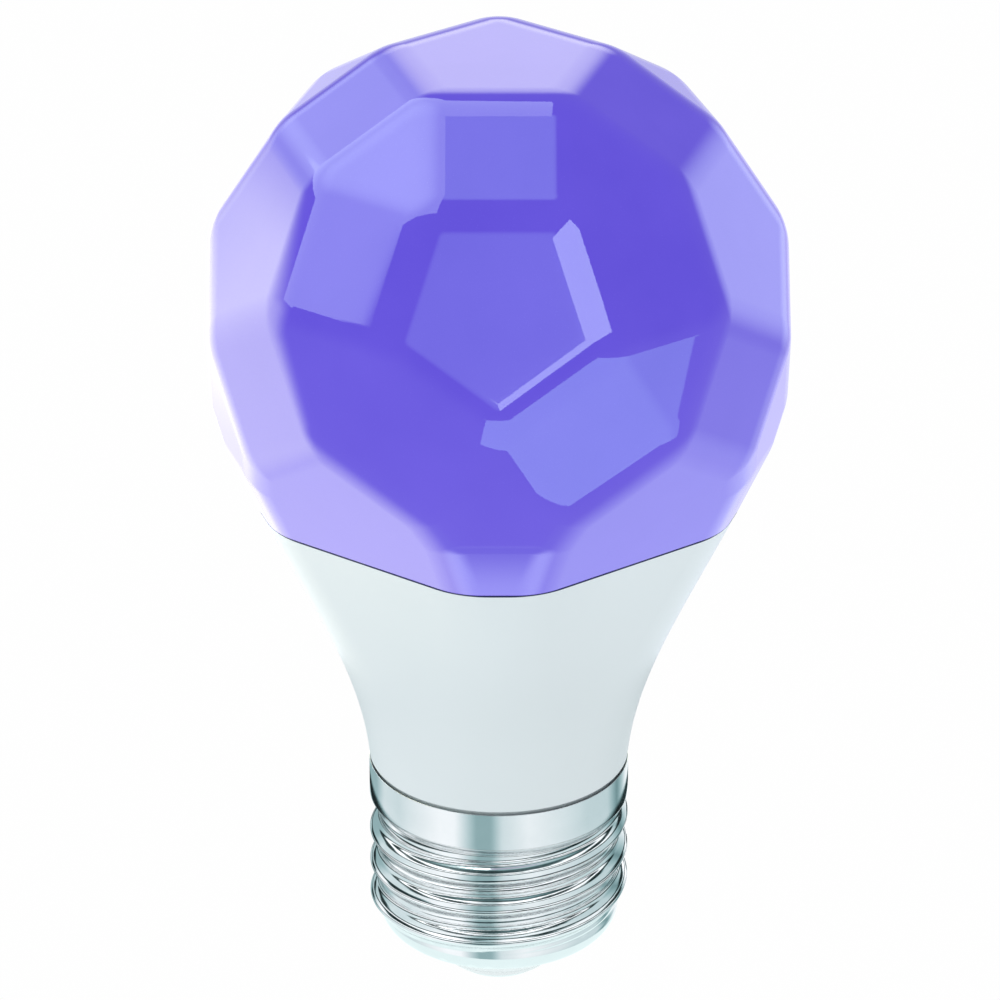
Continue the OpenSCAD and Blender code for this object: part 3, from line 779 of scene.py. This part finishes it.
def diffuser_plastic(name):
    """Milky violet plastic lit from inside, under a clear glossy surface."""
    look = Look(
        name, IOR=1.5, Specular_IOR_Level=0.0, Coat_Weight=1.0, Coat_Roughness=0.02, Coat_IOR=1.5,
    )
    speck = look.noise(0.12, 2.0)
    body = look.mix(look.noise(9.0, 2.0), (0.085, 0.055, 0.50), (0.115, 0.078, 0.56))
    body = look.mix(look.ramp(speck, 0.62, 0.8, 0.0, 0.25), body, (0.2, 0.16, 0.7))
    look.paint(body, look.spread(look.noise(1.5), 0.42, 0.55))
    low_down = look.ramp(look.height(), GLOW_FOOT * MM, GLOW_TOP * MM, 1.0, 0.0)
    light = look.mix(low_down, (0.034, 0.018, 0.25), (0.058, 0.040, 0.28))
    light = look.mix(look.spread(look.noise(6.0), 0.0, 0.25), light, (0.052, 0.030, 0.29))
    look.feed("Emission Color", light)
    # Painted shade at the seam: the glow fades out over the globe's lower rim, leaving a dark line where
    # it meets the housing
    rim = SEAM_Z + GAP
    lit = look.ramp(look.height(), (rim - GLOW_SHADE_BELOW) * MM, (rim + GLOW_SHADE_ABOVE) * MM)
    look.feed("Emission Strength", lit)
    look.bump(look.noise(2.5, 2.0), 0.004, 0.25)
    look.bump(speck, 0.002, 0.15)
    return look


def white_plastic(name):
    """Satin white moulded housing with a fine spark-eroded grain and painted shade at its top."""
    look = Look(name, IOR=1.48, Specular_IOR_Level=0.1)
    tone = look.mix(look.noise(14.0, 2.0), (0.79, 0.855, 0.875), (0.82, 0.88, 0.90))
    # Painted shade: a dark navy band along the housing's top edge stands for the shadow in the seam
    seam_shade = look.ramp(look.height(), (SEAM_Z - SEAM_SHADE_LOW) * MM, (SEAM_Z - SEAM_SHADE_HIGH) * MM)
    grain = look.noise(0.09)
    look.paint(look.mix(seam_shade, tone, (0.05, 0.06, 0.14)), look.spread(grain, 0.34, 0.5))
    look.bump(grain, 0.006, 0.35)
    look.bump(look.noise(5.0, 2.0), 0.01, 0.2)
    return look


def nickel_plate(name):
    """Bright nickel on rolled brass, with drawing lines round it and a dulled surface."""
    look = Look(name, Metallic=1.0)
    drawn = look.noise(0.9, 4.0, 0.6, (0.04, 0.04, 14.0))
    dull = look.noise(3.5, 4.0, 0.6)
    tone = look.mix(dull, (0.79, 0.82, 0.83), (0.89, 0.91, 0.92))
    smudge = look.ramp(dull, 0.45, 0.75, 0.0, 0.04)
    rough = look.maths("ADD", look.spread(drawn, 0.05, 0.09), smudge)
    look.paint(look.mix(look.worn(0.5), tone, (0.95, 0.97, 0.97)), rough)
    look.bump(drawn, 0.004, 0.35)
    look.bump(look.noise(0.08, 2.0), 0.0005, 0.3)
    look.bump(rolling_marks(look), 0.06, 1.0)
    return look


MARKS_PER_TURN = 3.0
MARKS_WAVER = 0.3
MARKS_FADE = 1.2
MARKS_LOW_Z = RIM_Z - 0.4


def rolling_marks(look):
    """Shallow ridges that run along the thread, fading out above and below it."""
    place = look.split(look.place)
    turn = look.maths("ARCTAN2", place["Y"], place["X"])
    turns_up = look.times(place["Z"], 2 * math.pi / (PITCH * MM))
    along = look.maths("SUBTRACT", turns_up, turn)
    waver = look.times(look.noise(6.0, 1.0), MARKS_WAVER)
    phase = look.times(look.maths("ADD", along, waver), MARKS_PER_TURN)
    lines = look.ramp(look.maths("SINE", phase), -1.0, 1.0)
    high = look.ramp(place["Z"], (THROAT_Z - MARKS_FADE) * MM, THROAT_Z * MM, 1.0, 0.0)
    low = look.ramp(place["Z"], MARKS_LOW_Z * MM, (MARKS_LOW_Z + MARKS_FADE) * MM)
    return look.times(lines, look.times(high, low))


def ceramic(name, dark, light):
    """Glazed insulator, slightly mottled."""
    look = Look(name, IOR=1.52, Coat_Weight=0.6, Coat_Roughness=0.08)
    look.paint(look.mix(look.noise(2.5), dark, light), look.spread(look.noise(0.6), 0.2, 0.34))
    look.bump(look.noise(0.8), 0.01, 0.3)
    return look


def plastic(name, dark, light, roughness, grain=0.15, depth=0.008):
    """Moulded or dipped plastic: two close colours and a grain."""
    look = Look(name, IOR=1.5)
    fine = look.noise(grain)
    rough = look.spread(fine, roughness - 0.07, roughness + 0.08)
    look.paint(look.mix(look.noise(2.0, 4.0), dark, light), rough)
    look.bump(fine, depth, 0.5)
    return look


def metal(name, dark, light, roughness, stretch=(1.0, 1.0, 1.0)):
    """Plain metal with a grain, dull patches and brighter edges."""
    look = Look(name, Metallic=1.0)
    grain = look.noise(0.25, 4.0, 0.6, stretch)
    tone = look.mix(look.noise(1.8, 4.0), dark, light)
    bright = tuple(min(1.0, c * 1.08) for c in light)
    rough = look.spread(grain, roughness - 0.06, roughness + 0.08)
    look.paint(look.mix(look.worn(0.6), tone, bright), rough)
    look.bump(grain, 0.006, 0.4)
    return look


def laminate(name, board, weave, trace):
    """Circuit board: solder mask over a glass weave, with the tracks showing through."""
    look = Look(name, IOR=1.52, Coat_Weight=0.5, Coat_Roughness=0.2)
    cloth = look.times(look.waves(0.45, "X", 0.6), look.waves(0.45, "Z", 0.6))
    tone = look.mix(look.ramp(cloth, 0.2, 0.9, 0.0, 0.5), board, weave)
    edge = look.ramp(look.cells(2.4, "DISTANCE_TO_EDGE"), 0.10, 0.14)
    look.paint(look.mix(edge, trace, tone), look.spread(look.noise(0.5), 0.28, 0.42))
    look.bump(edge, 0.02, 0.4)
    look.bump(cloth, 0.006, 0.3)
    return look


def silicone(name, dark, light):
    """Silicone sealant or pad, slightly translucent and uneven."""
    look = Look(
        name, IOR=1.43, Subsurface_Weight=0.2, Subsurface_Radius=(0.6, 0.6, 0.5), Subsurface_Scale=MM,
    )
    look.paint(look.mix(look.noise(1.2), dark, light), look.spread(look.noise(0.4), 0.35, 0.55))
    look.bump(look.noise(0.7, 2.0), 0.03, 0.4)
    return look


def phosphor(name, dark, light, glow):
    """Resin full of phosphor grains over a lit chip."""
    look = Look(name, IOR=1.45, Emission_Strength=0.4)
    grains = look.cells(0.08)
    rough = look.ramp(grains, 0.1, 0.7, 0.2, 0.45)
    look.paint(look.mix(look.ramp(grains, 0.1, 0.7), light, dark), rough)
    look.feed("Emission Color", look.mix(look.noise(0.8), glow, light))
    look.bump(grains, 0.01, 0.4)
    return look


def sintered(name, dark, light):
    """Fired ferrite, dull and finely pitted."""
    look = Look(name, IOR=1.9)
    pits = look.cells(0.35)
    look.paint(look.mix(look.noise(0.6, 5.0), dark, light), look.ramp(pits, 0.1, 0.6, 0.75, 0.5))
    look.bump(look.ramp(pits, 0.05, 0.3), 0.03, 0.6)
    return look


def enamelled(name, dark, light, shade_between_turns):
    """Lacquered wire, with painted shade in the grooves between its turns."""
    look = Look(name, Metallic=1.0, Coat_Weight=0.7, Coat_Roughness=0.1)
    turns = look.waves(0.44, "Z", 0.15)
    tone = look.mix(look.noise(0.8), dark, light)
    rough = look.spread(look.noise(0.3), 0.2, 0.32)
    # Painted shade: the troughs of the bands take a dark colour that stands for the shade between the
    # turns
    look.paint(look.mix(look.ramp(turns, 0.0, 0.35), shade_between_turns, tone), rough)
    look.bump(turns, 0.05, 0.6)
    return look


# One finish for each slot of the record: its maker, its colours and what else the maker takes
FINISHES = {
    "diffuser_plastic": (diffuser_plastic,),
    "white_plastic": (white_plastic,),
    "nickel_plate": (nickel_plate,),
    "insulator_ceramic": (ceramic, (0.80, 0.83, 0.84), (0.88, 0.90, 0.91)),
    "silicone": (silicone, (0.72, 0.72, 0.68), (0.80, 0.80, 0.77)),
    "thermal_silicone": (silicone, (0.24, 0.29, 0.34), (0.30, 0.35, 0.40)),
    "aluminium_sheet": (metal, (0.55, 0.56, 0.57), (0.68, 0.69, 0.70), 0.35, (1, 1, 12)),
    "tinned_metal": (metal, (0.55, 0.55, 0.56), (0.70, 0.70, 0.70), 0.3),
    "gilt_metal": (metal, (0.60, 0.42, 0.15), (0.76, 0.58, 0.25), 0.25),
    "white_laminate": (laminate, (0.78, 0.80, 0.80), (0.84, 0.86, 0.86), (0.70, 0.72, 0.73)),
    "green_laminate": (laminate, (0.01, 0.10, 0.04), (0.02, 0.15, 0.07), (0.02, 0.19, 0.08)),
    "blue_laminate": (laminate, (0.01, 0.05, 0.16), (0.02, 0.08, 0.22), (0.03, 0.12, 0.29)),
    "warm_phosphor": (phosphor, (0.75, 0.40, 0.05), (0.90, 0.60, 0.12), (0.9, 0.5, 0.2)),
    "cool_phosphor": (phosphor, (0.80, 0.66, 0.10), (0.92, 0.84, 0.25), (0.8, 0.8, 0.6)),
    "clear_resin": (phosphor, (0.60, 0.62, 0.75), (0.80, 0.82, 0.95), (0.25, 0.15, 1.0)),
    "ferrite": (sintered, (0.022, 0.022, 0.024), (0.05, 0.05, 0.052)),
    # The wire's third colour is painted shade between its turns
    "enamelled_copper": (enamelled, (0.55, 0.20, 0.07), (0.72, 0.32, 0.13), (0.16, 0.05, 0.02)),
    "reflector_film": (plastic, (0.86, 0.87, 0.87), (0.92, 0.93, 0.93), 0.3, 0.3),
    "cream_plastic": (plastic, (0.72, 0.66, 0.52), (0.80, 0.75, 0.62), 0.45),
    "dark_sleeve": (plastic, (0.012, 0.018, 0.05), (0.03, 0.04, 0.10), 0.3, 0.3),
    "yellow_box": (plastic, (0.55, 0.32, 0.02), (0.66, 0.42, 0.05), 0.35, 0.25),
    "blue_epoxy": (plastic, (0.01, 0.09, 0.30), (0.02, 0.14, 0.42), 0.25, 0.6, 0.03),
    "black_plastic": (plastic, (0.012, 0.012, 0.013), (0.028, 0.028, 0.03), 0.45),
    "yellow_tape": (plastic, (0.62, 0.46, 0.04), (0.74, 0.58, 0.09), 0.25, 0.8, 0.02),
    "black_resin": (plastic, (0.010, 0.010, 0.011), (0.022, 0.022, 0.024), 0.55, 0.1),
    "fuse_lacquer": (plastic, (0.20, 0.42, 0.36), (0.28, 0.52, 0.46), 0.3, 0.4, 0.02),
    "shrink_tube": (plastic, (0.02, 0.02, 0.022), (0.045, 0.045, 0.05), 0.5, 0.3, 0.02),
    "red_wire": (plastic, (0.42, 0.01, 0.01), (0.55, 0.02, 0.015), 0.35, 0.3),
    "blue_wire": (plastic, (0.01, 0.04, 0.30), (0.02, 0.06, 0.42), 0.35, 0.3),
}


# --- Pieces ---
SKINS = {
    "diffuser": (globe_skin, "diffuser_plastic"),
    "housing": (housing_skin, "white_plastic"),
    "screw_shell": (shell_skin, "nickel_plate"),
    "cap_insulator": (insulator_skin, "insulator_ceramic"),
    "centre_contact": (contact_skin, "nickel_plate"),
}


def dress():
    """Makes the finished pieces and gives every CAD node its slot's material."""
    looks = {slot: make(slot, *values).material for slot, (make, *values) in FINISHES.items()}
    for node, (make, slot) in SKINS.items():
        piece = make()
        piece.data.materials.append(looks[slot])
        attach(piece, "root")
        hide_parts(node)
    slots = {m["slot"] for m in frame["record"]["materials"]}
    for name, obj in nodes.items():
        slot = obj.material_slots[0].material.name.split(".")[0] if obj.material_slots else None
        if slot not in slots:
            raise SystemExit(f"{name} has no known slot: {slot}")
        for place in obj.material_slots:
            place.material = looks[slot]


# --- Studio ---
DOME_R = 40000.0
WINDOW_R = 30000.0
STUDIO_CENTRE = np.array([0.0, 0.0, GLOBE_Z])
COOL = (0.87, 1.0, 1.0)
ICE = (0.70, 0.95, 1.0)
WARM = (0.92, 0.93, 0.66)
ROSE = (0.90, 0.90, 1.1)

# Brighter spot of the left window: degrees right and up, full and fading angle, added radiance
LEFT_BRIGHTER = (-108, 55, 6, 24, 1.9)

# Windows far from the globe: radiance, brighter spot, middle and corners in degrees right and up
WINDOWS = {
    "key_window": (6.6, None, (5, 25.5), [
        (-1.7, 24.9), (-0.1, 26.8), (0.83, 27.4), (0.58, 28.35), (38, 49.5), (46.6, 32.2),
        (12.3, 23.1), (1.7, 16.4),
    ]),
    "left_window": (3.9, LEFT_BRIGHTER, (-120, 60), [
        (-96, 18), (-75.5, 19.5), (-72.5, 23), (-73.8, 27.5), (-61, 45.3), (-24.3, 61.5), (-160, 88.4),
        (-168.6, 87.2), (169.6, 87.2), (176, 64.6), (181, 58), (199.5, 46.5), (208.4, 27.5),
        (214.3, 25.6), (219, 21), (223, 15.4), (240, 17.8),
    ]),
}

# Flat card low in front: radiance, tint, heading to the right, distance, corners across and up
LOW_CARD = (4.1, ICE, 15.0, 62.0, [
    (-30, 78), (-7, 78), (3, 83), (66, 73), (59, 65), (54, 45), (15, 47), (9, 46), (2, 42), (-6, 37),
    (-8, 43), (-39, 45),
])
CARD_DIM_FROM = 45.0
CARD_DIM_TO = 66.0
CARD_DIM = 0.75

# Glows and shades of the room: degrees right of the view and up, full and fading angle, radiance
GLOWS = [
    (0, 27, 3, 9, 1.5, ICE),
    (0, 89, 2, 6, 2.15, ICE),
    (0, -80, 6, 18, 2.6, COOL),
    (-120, -57, 6, 33, 2.35, WARM),
    (120, -57, 6, 33, 1.2, COOL),
    (180, 25, 8, 13, 3.0, WARM),
    (-146, 25, 3, 18, 1.5, COOL),
    (-139, 11, 6, 14, 1.2, COOL),
    (-158, -30, 6, 18, 1.1, ROSE),
    (-170, -11, 6, 15, 0.2, WARM),
    (133, -3, 6, 18, 1.6, COOL),
    (158, -30, 6, 18, 0.45, ROSE),
    (180, -27, 4, 14, -0.3, ROSE),
    (110, -26, 4, 16, 0.3, ICE),
]
ROOM_HIGH = 0.5
ROOM_LOW = 0.9
ROOM_STEP = (-0.2, 0.25)

CURVE_TOP = 2.0

# Kinds of ray that a studio surface is hidden from
ALL_BUT_REFLECTED = ("camera", "diffuse", "transmission", "volume_scatter", "shadow")
ALL_BUT_CAMERA = ("diffuse", "glossy", "transmission", "shadow")


class Glow(Nodes):
    """A studio material that gives off light, and the nodes that vary it."""

    def __init__(self, name, radiance, tint=COOL):
        self.material = bpy.data.materials.new(name)
        super().__init__(self.material)
        self.tree.nodes.clear()
        self.shader = self.node("Emission", {"Color": (*tint, 1.0), "Strength": radiance})
        self.output = self.node("OutputMaterial", {"Surface": self.shader.outputs[0]})
        self.place = self.node("TexCoord").outputs["Object"]

    def see_through(self, cover):
        """Shows the glow only as far as cover says."""
        clear = self.node("BsdfTransparent")
        mix = self.node("MixShader", {0: cover, 1: clear.outputs[0], 2: self.shader.outputs[0]})
        self.give(self.output.inputs["Surface"], mix.outputs[0])

    def towards(self, way, aim, level, more):
        """Level that rises by more where way points near aim.

        An aim is degrees right of the view, degrees up, and the full and the fading angle.
        """
        right, up, full, fade = aim
        dot = self.vector("DOT_PRODUCT", way, studio_direction(right, up))
        return self.ramp(dot, cosd(full + fade), cosd(full), level, level + more)

    def tinted(self, level, tint):
        return self.node("VectorMath", {0: tint, "Scale": level}, operation="SCALE").outputs[0]

    def curve(self, value, stops):
        """Level interpolated between stops, each a value and a level up to CURVE_TOP."""
        low, high = stops[0][0], stops[-1][0]
        part = self.node("MapRange", {"Value": value, "From Min": low, "From Max": high})
        made = self.node("FloatCurve", {"Value": part.outputs["Result"]})
        points = made.mapping.curves[0].points
        while len(points) < len(stops):
            points.new(0.5, 0.5)
        for point, (where, level) in zip(points, stops):
            point.location = ((where - low) / (high - low), level / CURVE_TOP)
            point.handle_type = "VECTOR"
        made.mapping.update()
        return self.times(made.outputs["Value"], CURVE_TOP)


def studio_direction(right, up):
    """Unit vector at degrees to the right of the view's heading and degrees up."""
    return direction(FRONT + right, up)


def stage(obj, glow, hidden_from=ALL_BUT_REFLECTED):
    """Makes an object a studio surface with the given glow; most show only in reflections."""
    obj.data.materials.append(glow.material)
    for rays in hidden_from:
        setattr(obj, "visible_" + rays, False)


def window(name, radiance, brighter, middle, outline):
    """Bright window with the given outline as the globe sees it."""
    ways = [studio_direction(right, up) for right, up in outline + [middle]]
    points = [STUDIO_CENTRE + WINDOW_R * way for way in ways]
    tip = len(outline)
    faces = [[i, (i + 1) % tip, tip] for i in range(tip)]
    glow = Glow(name, radiance)
    if brighter:
        *aim, more = brighter
        way = glow.vector("NORMALIZE", glow.vector("SUBTRACT", glow.place, STUDIO_CENTRE * MM))
        glow.feed("Strength", glow.towards(way, aim, radiance, more))
    stage(mesh_object(name, points, faces), glow)


def low_card():
    """Flat card in front of the globe, dimmer to the right."""
    radiance, tint, heading, distance, outline = LOW_CARD
    out = studio_direction(heading, 0)
    across = studio_direction(heading + 90, 0)
    points = [out * distance + across * u + np.array([0, 0, z]) for u, z in outline]
    glow = Glow("low_card", radiance, tint)
    right = glow.split(glow.place)["X"]
    dimmed = glow.ramp(right, CARD_DIM_FROM * MM, CARD_DIM_TO * MM, radiance, CARD_DIM * radiance)
    glow.feed("Strength", dimmed)
    stage(mesh_object("low_card", points, [range(len(points))]), glow)


FLAG_AT = np.array([0.0, -39.5, 30.0])
FLAG_HALF = np.array([24.0, 8.5, 1.0])
FLAG_FULL = 0.35
FLAG_SIDES = 48


def corner_flag():
    """Soft-edged dull ellipse under the globe's front corner."""
    ways = [direction(360.0 * i / FLAG_SIDES, 0) for i in range(FLAG_SIDES)]
    points = [FLAG_AT + FLAG_HALF * way for way in ways]
    glow = Glow("corner_flag", ROOM_LOW)
    offset = glow.vector("SUBTRACT", glow.place, FLAG_AT * MM)
    out = glow.vector("LENGTH", glow.vector("DIVIDE", offset, FLAG_HALF * MM))
    glow.see_through(glow.ramp(out, FLAG_FULL, 1.0, 1.0, 0.0))
    stage(mesh_object("corner_flag", points, [range(FLAG_SIDES)]), glow)


# Panel beside the globe; along Y and Z it fades in between two places and out between two more
PANEL_X = -45.0
PANEL_RADIANCE = 4.6
PANEL_Y = (-28, -14, -2, 50)
PANEL_Z = (30, 50, 84, 97)


def left_panel():
    """Soft-edged panel close to the globe's left side."""
    y0, y1 = PANEL_Y[0], PANEL_Y[-1]
    z0, z1 = PANEL_Z[0], PANEL_Z[-1]
    points = [(PANEL_X, y, z) for y, z in ((y0, z0), (y1, z0), (y1, z1), (y0, z1))]
    glow = Glow("left_panel", PANEL_RADIANCE, WARM)
    place = glow.split(glow.place)
    cover = 1.0
    for axis, (outer_low, low, high, outer_high) in (("Y", PANEL_Y), ("Z", PANEL_Z)):
        rise = glow.ramp(place[axis], outer_low * MM, low * MM)
        fall = glow.ramp(place[axis], high * MM, outer_high * MM, 1.0, 0.0)
        cover = glow.times(glow.times(cover, rise), fall)
    glow.see_through(cover)
    stage(mesh_object("left_panel", points, [range(4)]), glow)


BOWL_R = 22.0
BOWL_LOW = -4.0
BOWL_HIGH = 28.0
BOWL_EYE_R = 17.0
BOWL_FLOOR = 1.05
BOWL_SHADE = (0.56, 1.0, 1.05)
BOWL_LIGHT = (0.99, 1.0, 1.02)
BOWL_TONES = (0.1, 1.2)
BOWL_SIDES = 120

# Brightness round the bowl, by degrees to the right of the view
BOWL_ROUND = [
    (-180, 0.8), (-128, 0.45), (-106, 0.5), (-92, 0.84), (-73, 0.8), (-38, 1.08), (-28, 1.06),
    (-14, 0.46), (-5, 0.46), (2, 0.82), (19, 1.0), (30, 0.94), (62, 0.74), (84, 0.72), (98, 0.3),
    (120, 1.0), (180, 0.9),
]

# Brightness up the bowl's side and in over its top, by millimetres along it
BOWL_UP = [
    (0, 1.0), (8.2, 1.1), (8.5, 0.1), (9.6, 0.1), (9.9, 1.4), (11.9, 1.4), (12.2, 0.04), (13.6, 0.04),
    (13.9, 1.4), (15.5, 1.4), (15.8, 0.04), (17.4, 0.04), (18.0, 1.05), (19.4, 1.0), (24.2, 1.0),
    (24.5, 0.04), (26.1, 0.04), (26.4, 1.7), (27.8, 1.7), (28.1, 0.04), (30.0, 0.04), (30.3, 1.7),
    (32.2, 1.5), (32.6, 0.1), (34.6, 0.1), (37.0, 0.8),
]


def bowl_glow():
    """Stripes round the bowl, brighter and dimmer by heading, with a cooler tone in the dark."""
    glow = Glow("cap_bowl", 1.0)
    place = glow.split(glow.place)
    heading = glow.maths("ARCTAN2", place["X"], glow.times(place["Y"], -1.0))
    around = glow.curve(glow.times(heading, 180 / math.pi), BOWL_ROUND)
    out = glow.vector("LENGTH", glow.vector("MULTIPLY", glow.place, (1.0, 1.0, 0.0)))
    along = glow.times(glow.maths("SUBTRACT", place["Z"], out), 1 / MM)
    up = glow.curve(glow.maths("ADD", along, BOWL_R - BOWL_LOW), BOWL_UP)
    level = glow.times(around, up)
    glow.feed("Strength", level)
    light = glow.ramp(level, *BOWL_TONES)
    tone = glow.node("Mix", {0: light, 4: BOWL_SHADE, 5: BOWL_LIGHT}, data_type="VECTOR")
    glow.feed("Color", tone.outputs[1])
    return glow


def cap_bowl():
    """Bowl round the screw cap, striped so that the metal has something to reflect."""
    profile = [(0.01, BOWL_LOW), (BOWL_R, BOWL_LOW), (BOWL_R, BOWL_HIGH), (BOWL_EYE_R, BOWL_HIGH)]
    rings = [circle(r, z, BOWL_SIDES) for r, z in profile]
    obj = mesh_object("cap_bowl", np.vstack(rings), bands(ring_loops(rings)))
    stage(obj, bowl_glow())
    obj.data.materials.append(Glow("bowl_floor", BOWL_FLOOR).material)
    for face in obj.data.polygons[:BOWL_SIDES]:
        face.material_index = 1


def dome():
    """Sphere that gives reflections the pale room with its soft glows."""
    bm = bmesh.new()
    bmesh.ops.create_icosphere(bm, subdivisions=4, radius=DOME_R * MM)
    mesh = bpy.data.meshes.new("studio_dome")
    bm.to_mesh(mesh)
    bm.free()
    glow = Glow("studio_room", 1.0)
    glow.material.cycles.emission_sampling = "NONE"
    way = glow.vector("NORMALIZE", glow.place)
    room = glow.ramp(glow.split(way)["Z"], *ROOM_STEP, ROOM_LOW, ROOM_HIGH)
    total = glow.tinted(room, ROSE)
    for *aim, radiance, tint in GLOWS:
        lobe = glow.towards(way, aim, 0.0, radiance)
        total = glow.vector("ADD", total, glow.tinted(lobe, tint))
    glow.feed("Color", total)
    stage(linked("studio_dome", mesh), glow)


LIGHT_COLOUR = (0.96, 0.99, 1.0, 1.0)
LIGHT_LEFT = 0.975
LIGHT_RIGHT = 0.815
BACKDROP_LEVEL = 0.995


def world():
    """Soft even light on the surfaces, a little stronger from the left, and a white backdrop."""
    bpy.context.scene.world = bpy.data.worlds.new("studio")
    sky = Nodes(bpy.context.scene.world)
    sky.tree.nodes.clear()
    place = sky.split(sky.node("TexCoord").outputs["Generated"])
    side = sky.node("MapRange", {
        "Value": place["X"], "From Min": -1.0, "To Min": LIGHT_LEFT, "To Max": LIGHT_RIGHT,
    })
    soft = sky.node("Background", {"Color": LIGHT_COLOUR, "Strength": side.outputs["Result"]})
    backdrop = sky.node("Background", {"Color": (*[BACKDROP_LEVEL] * 3, 1.0)})
    seen = sky.node("LightPath").outputs["Is Camera Ray"]
    mix = sky.node("MixShader", {0: seen, 1: soft.outputs[0], 2: backdrop.outputs[0]})
    sky.node("OutputWorld", {"Surface": mix.outputs[0]})


FLOOR_HALF = 6000.0


def floor():
    """Plain pale floor that takes no part in the lighting."""
    corners = [(-1, -1), (1, -1), (1, 1), (-1, 1)]
    points = [(x * FLOOR_HALF, y * FLOOR_HALF, 0.0) for x, y in corners]
    glow = Glow("floor_white", BACKDROP_LEVEL, (1.0, 1.0, 1.0))
    stage(mesh_object("floor", points, [range(4)]), glow, ALL_BUT_CAMERA)


# View of the whole bulb, in degrees, metres and millimetres of lens
VIEW_ELEVATION = 26.93
VIEW_DISTANCE = 0.72753
VIEW_TARGET = (0.00012, 0.0, 0.05285)
VIEW_LENS = 263.28
VIEW_SENSOR = 36.0
VIEW_CLIP = (0.05, 20.0)


def camera():
    data = bpy.data.cameras.new("view")
    data.lens = VIEW_LENS
    data.sensor_width = VIEW_SENSOR
    data.clip_start, data.clip_end = VIEW_CLIP
    obj = linked("view", data)
    back = direction(FRONT, VIEW_ELEVATION) * VIEW_DISTANCE
    obj.location = [t + b for t, b in zip(VIEW_TARGET, back)]
    obj.rotation_euler = (math.radians(90 - VIEW_ELEVATION), 0, 0)
    bpy.context.scene.camera = obj


def studio():
    camera()
    floor()
    world()
    dome()
    low_card()
    left_panel()
    cap_bowl()
    corner_flag()
    for name, values in WINDOWS.items():
        window(name, *values)
    bpy.context.scene.view_settings.view_transform = "Standard"


studio()
dress()
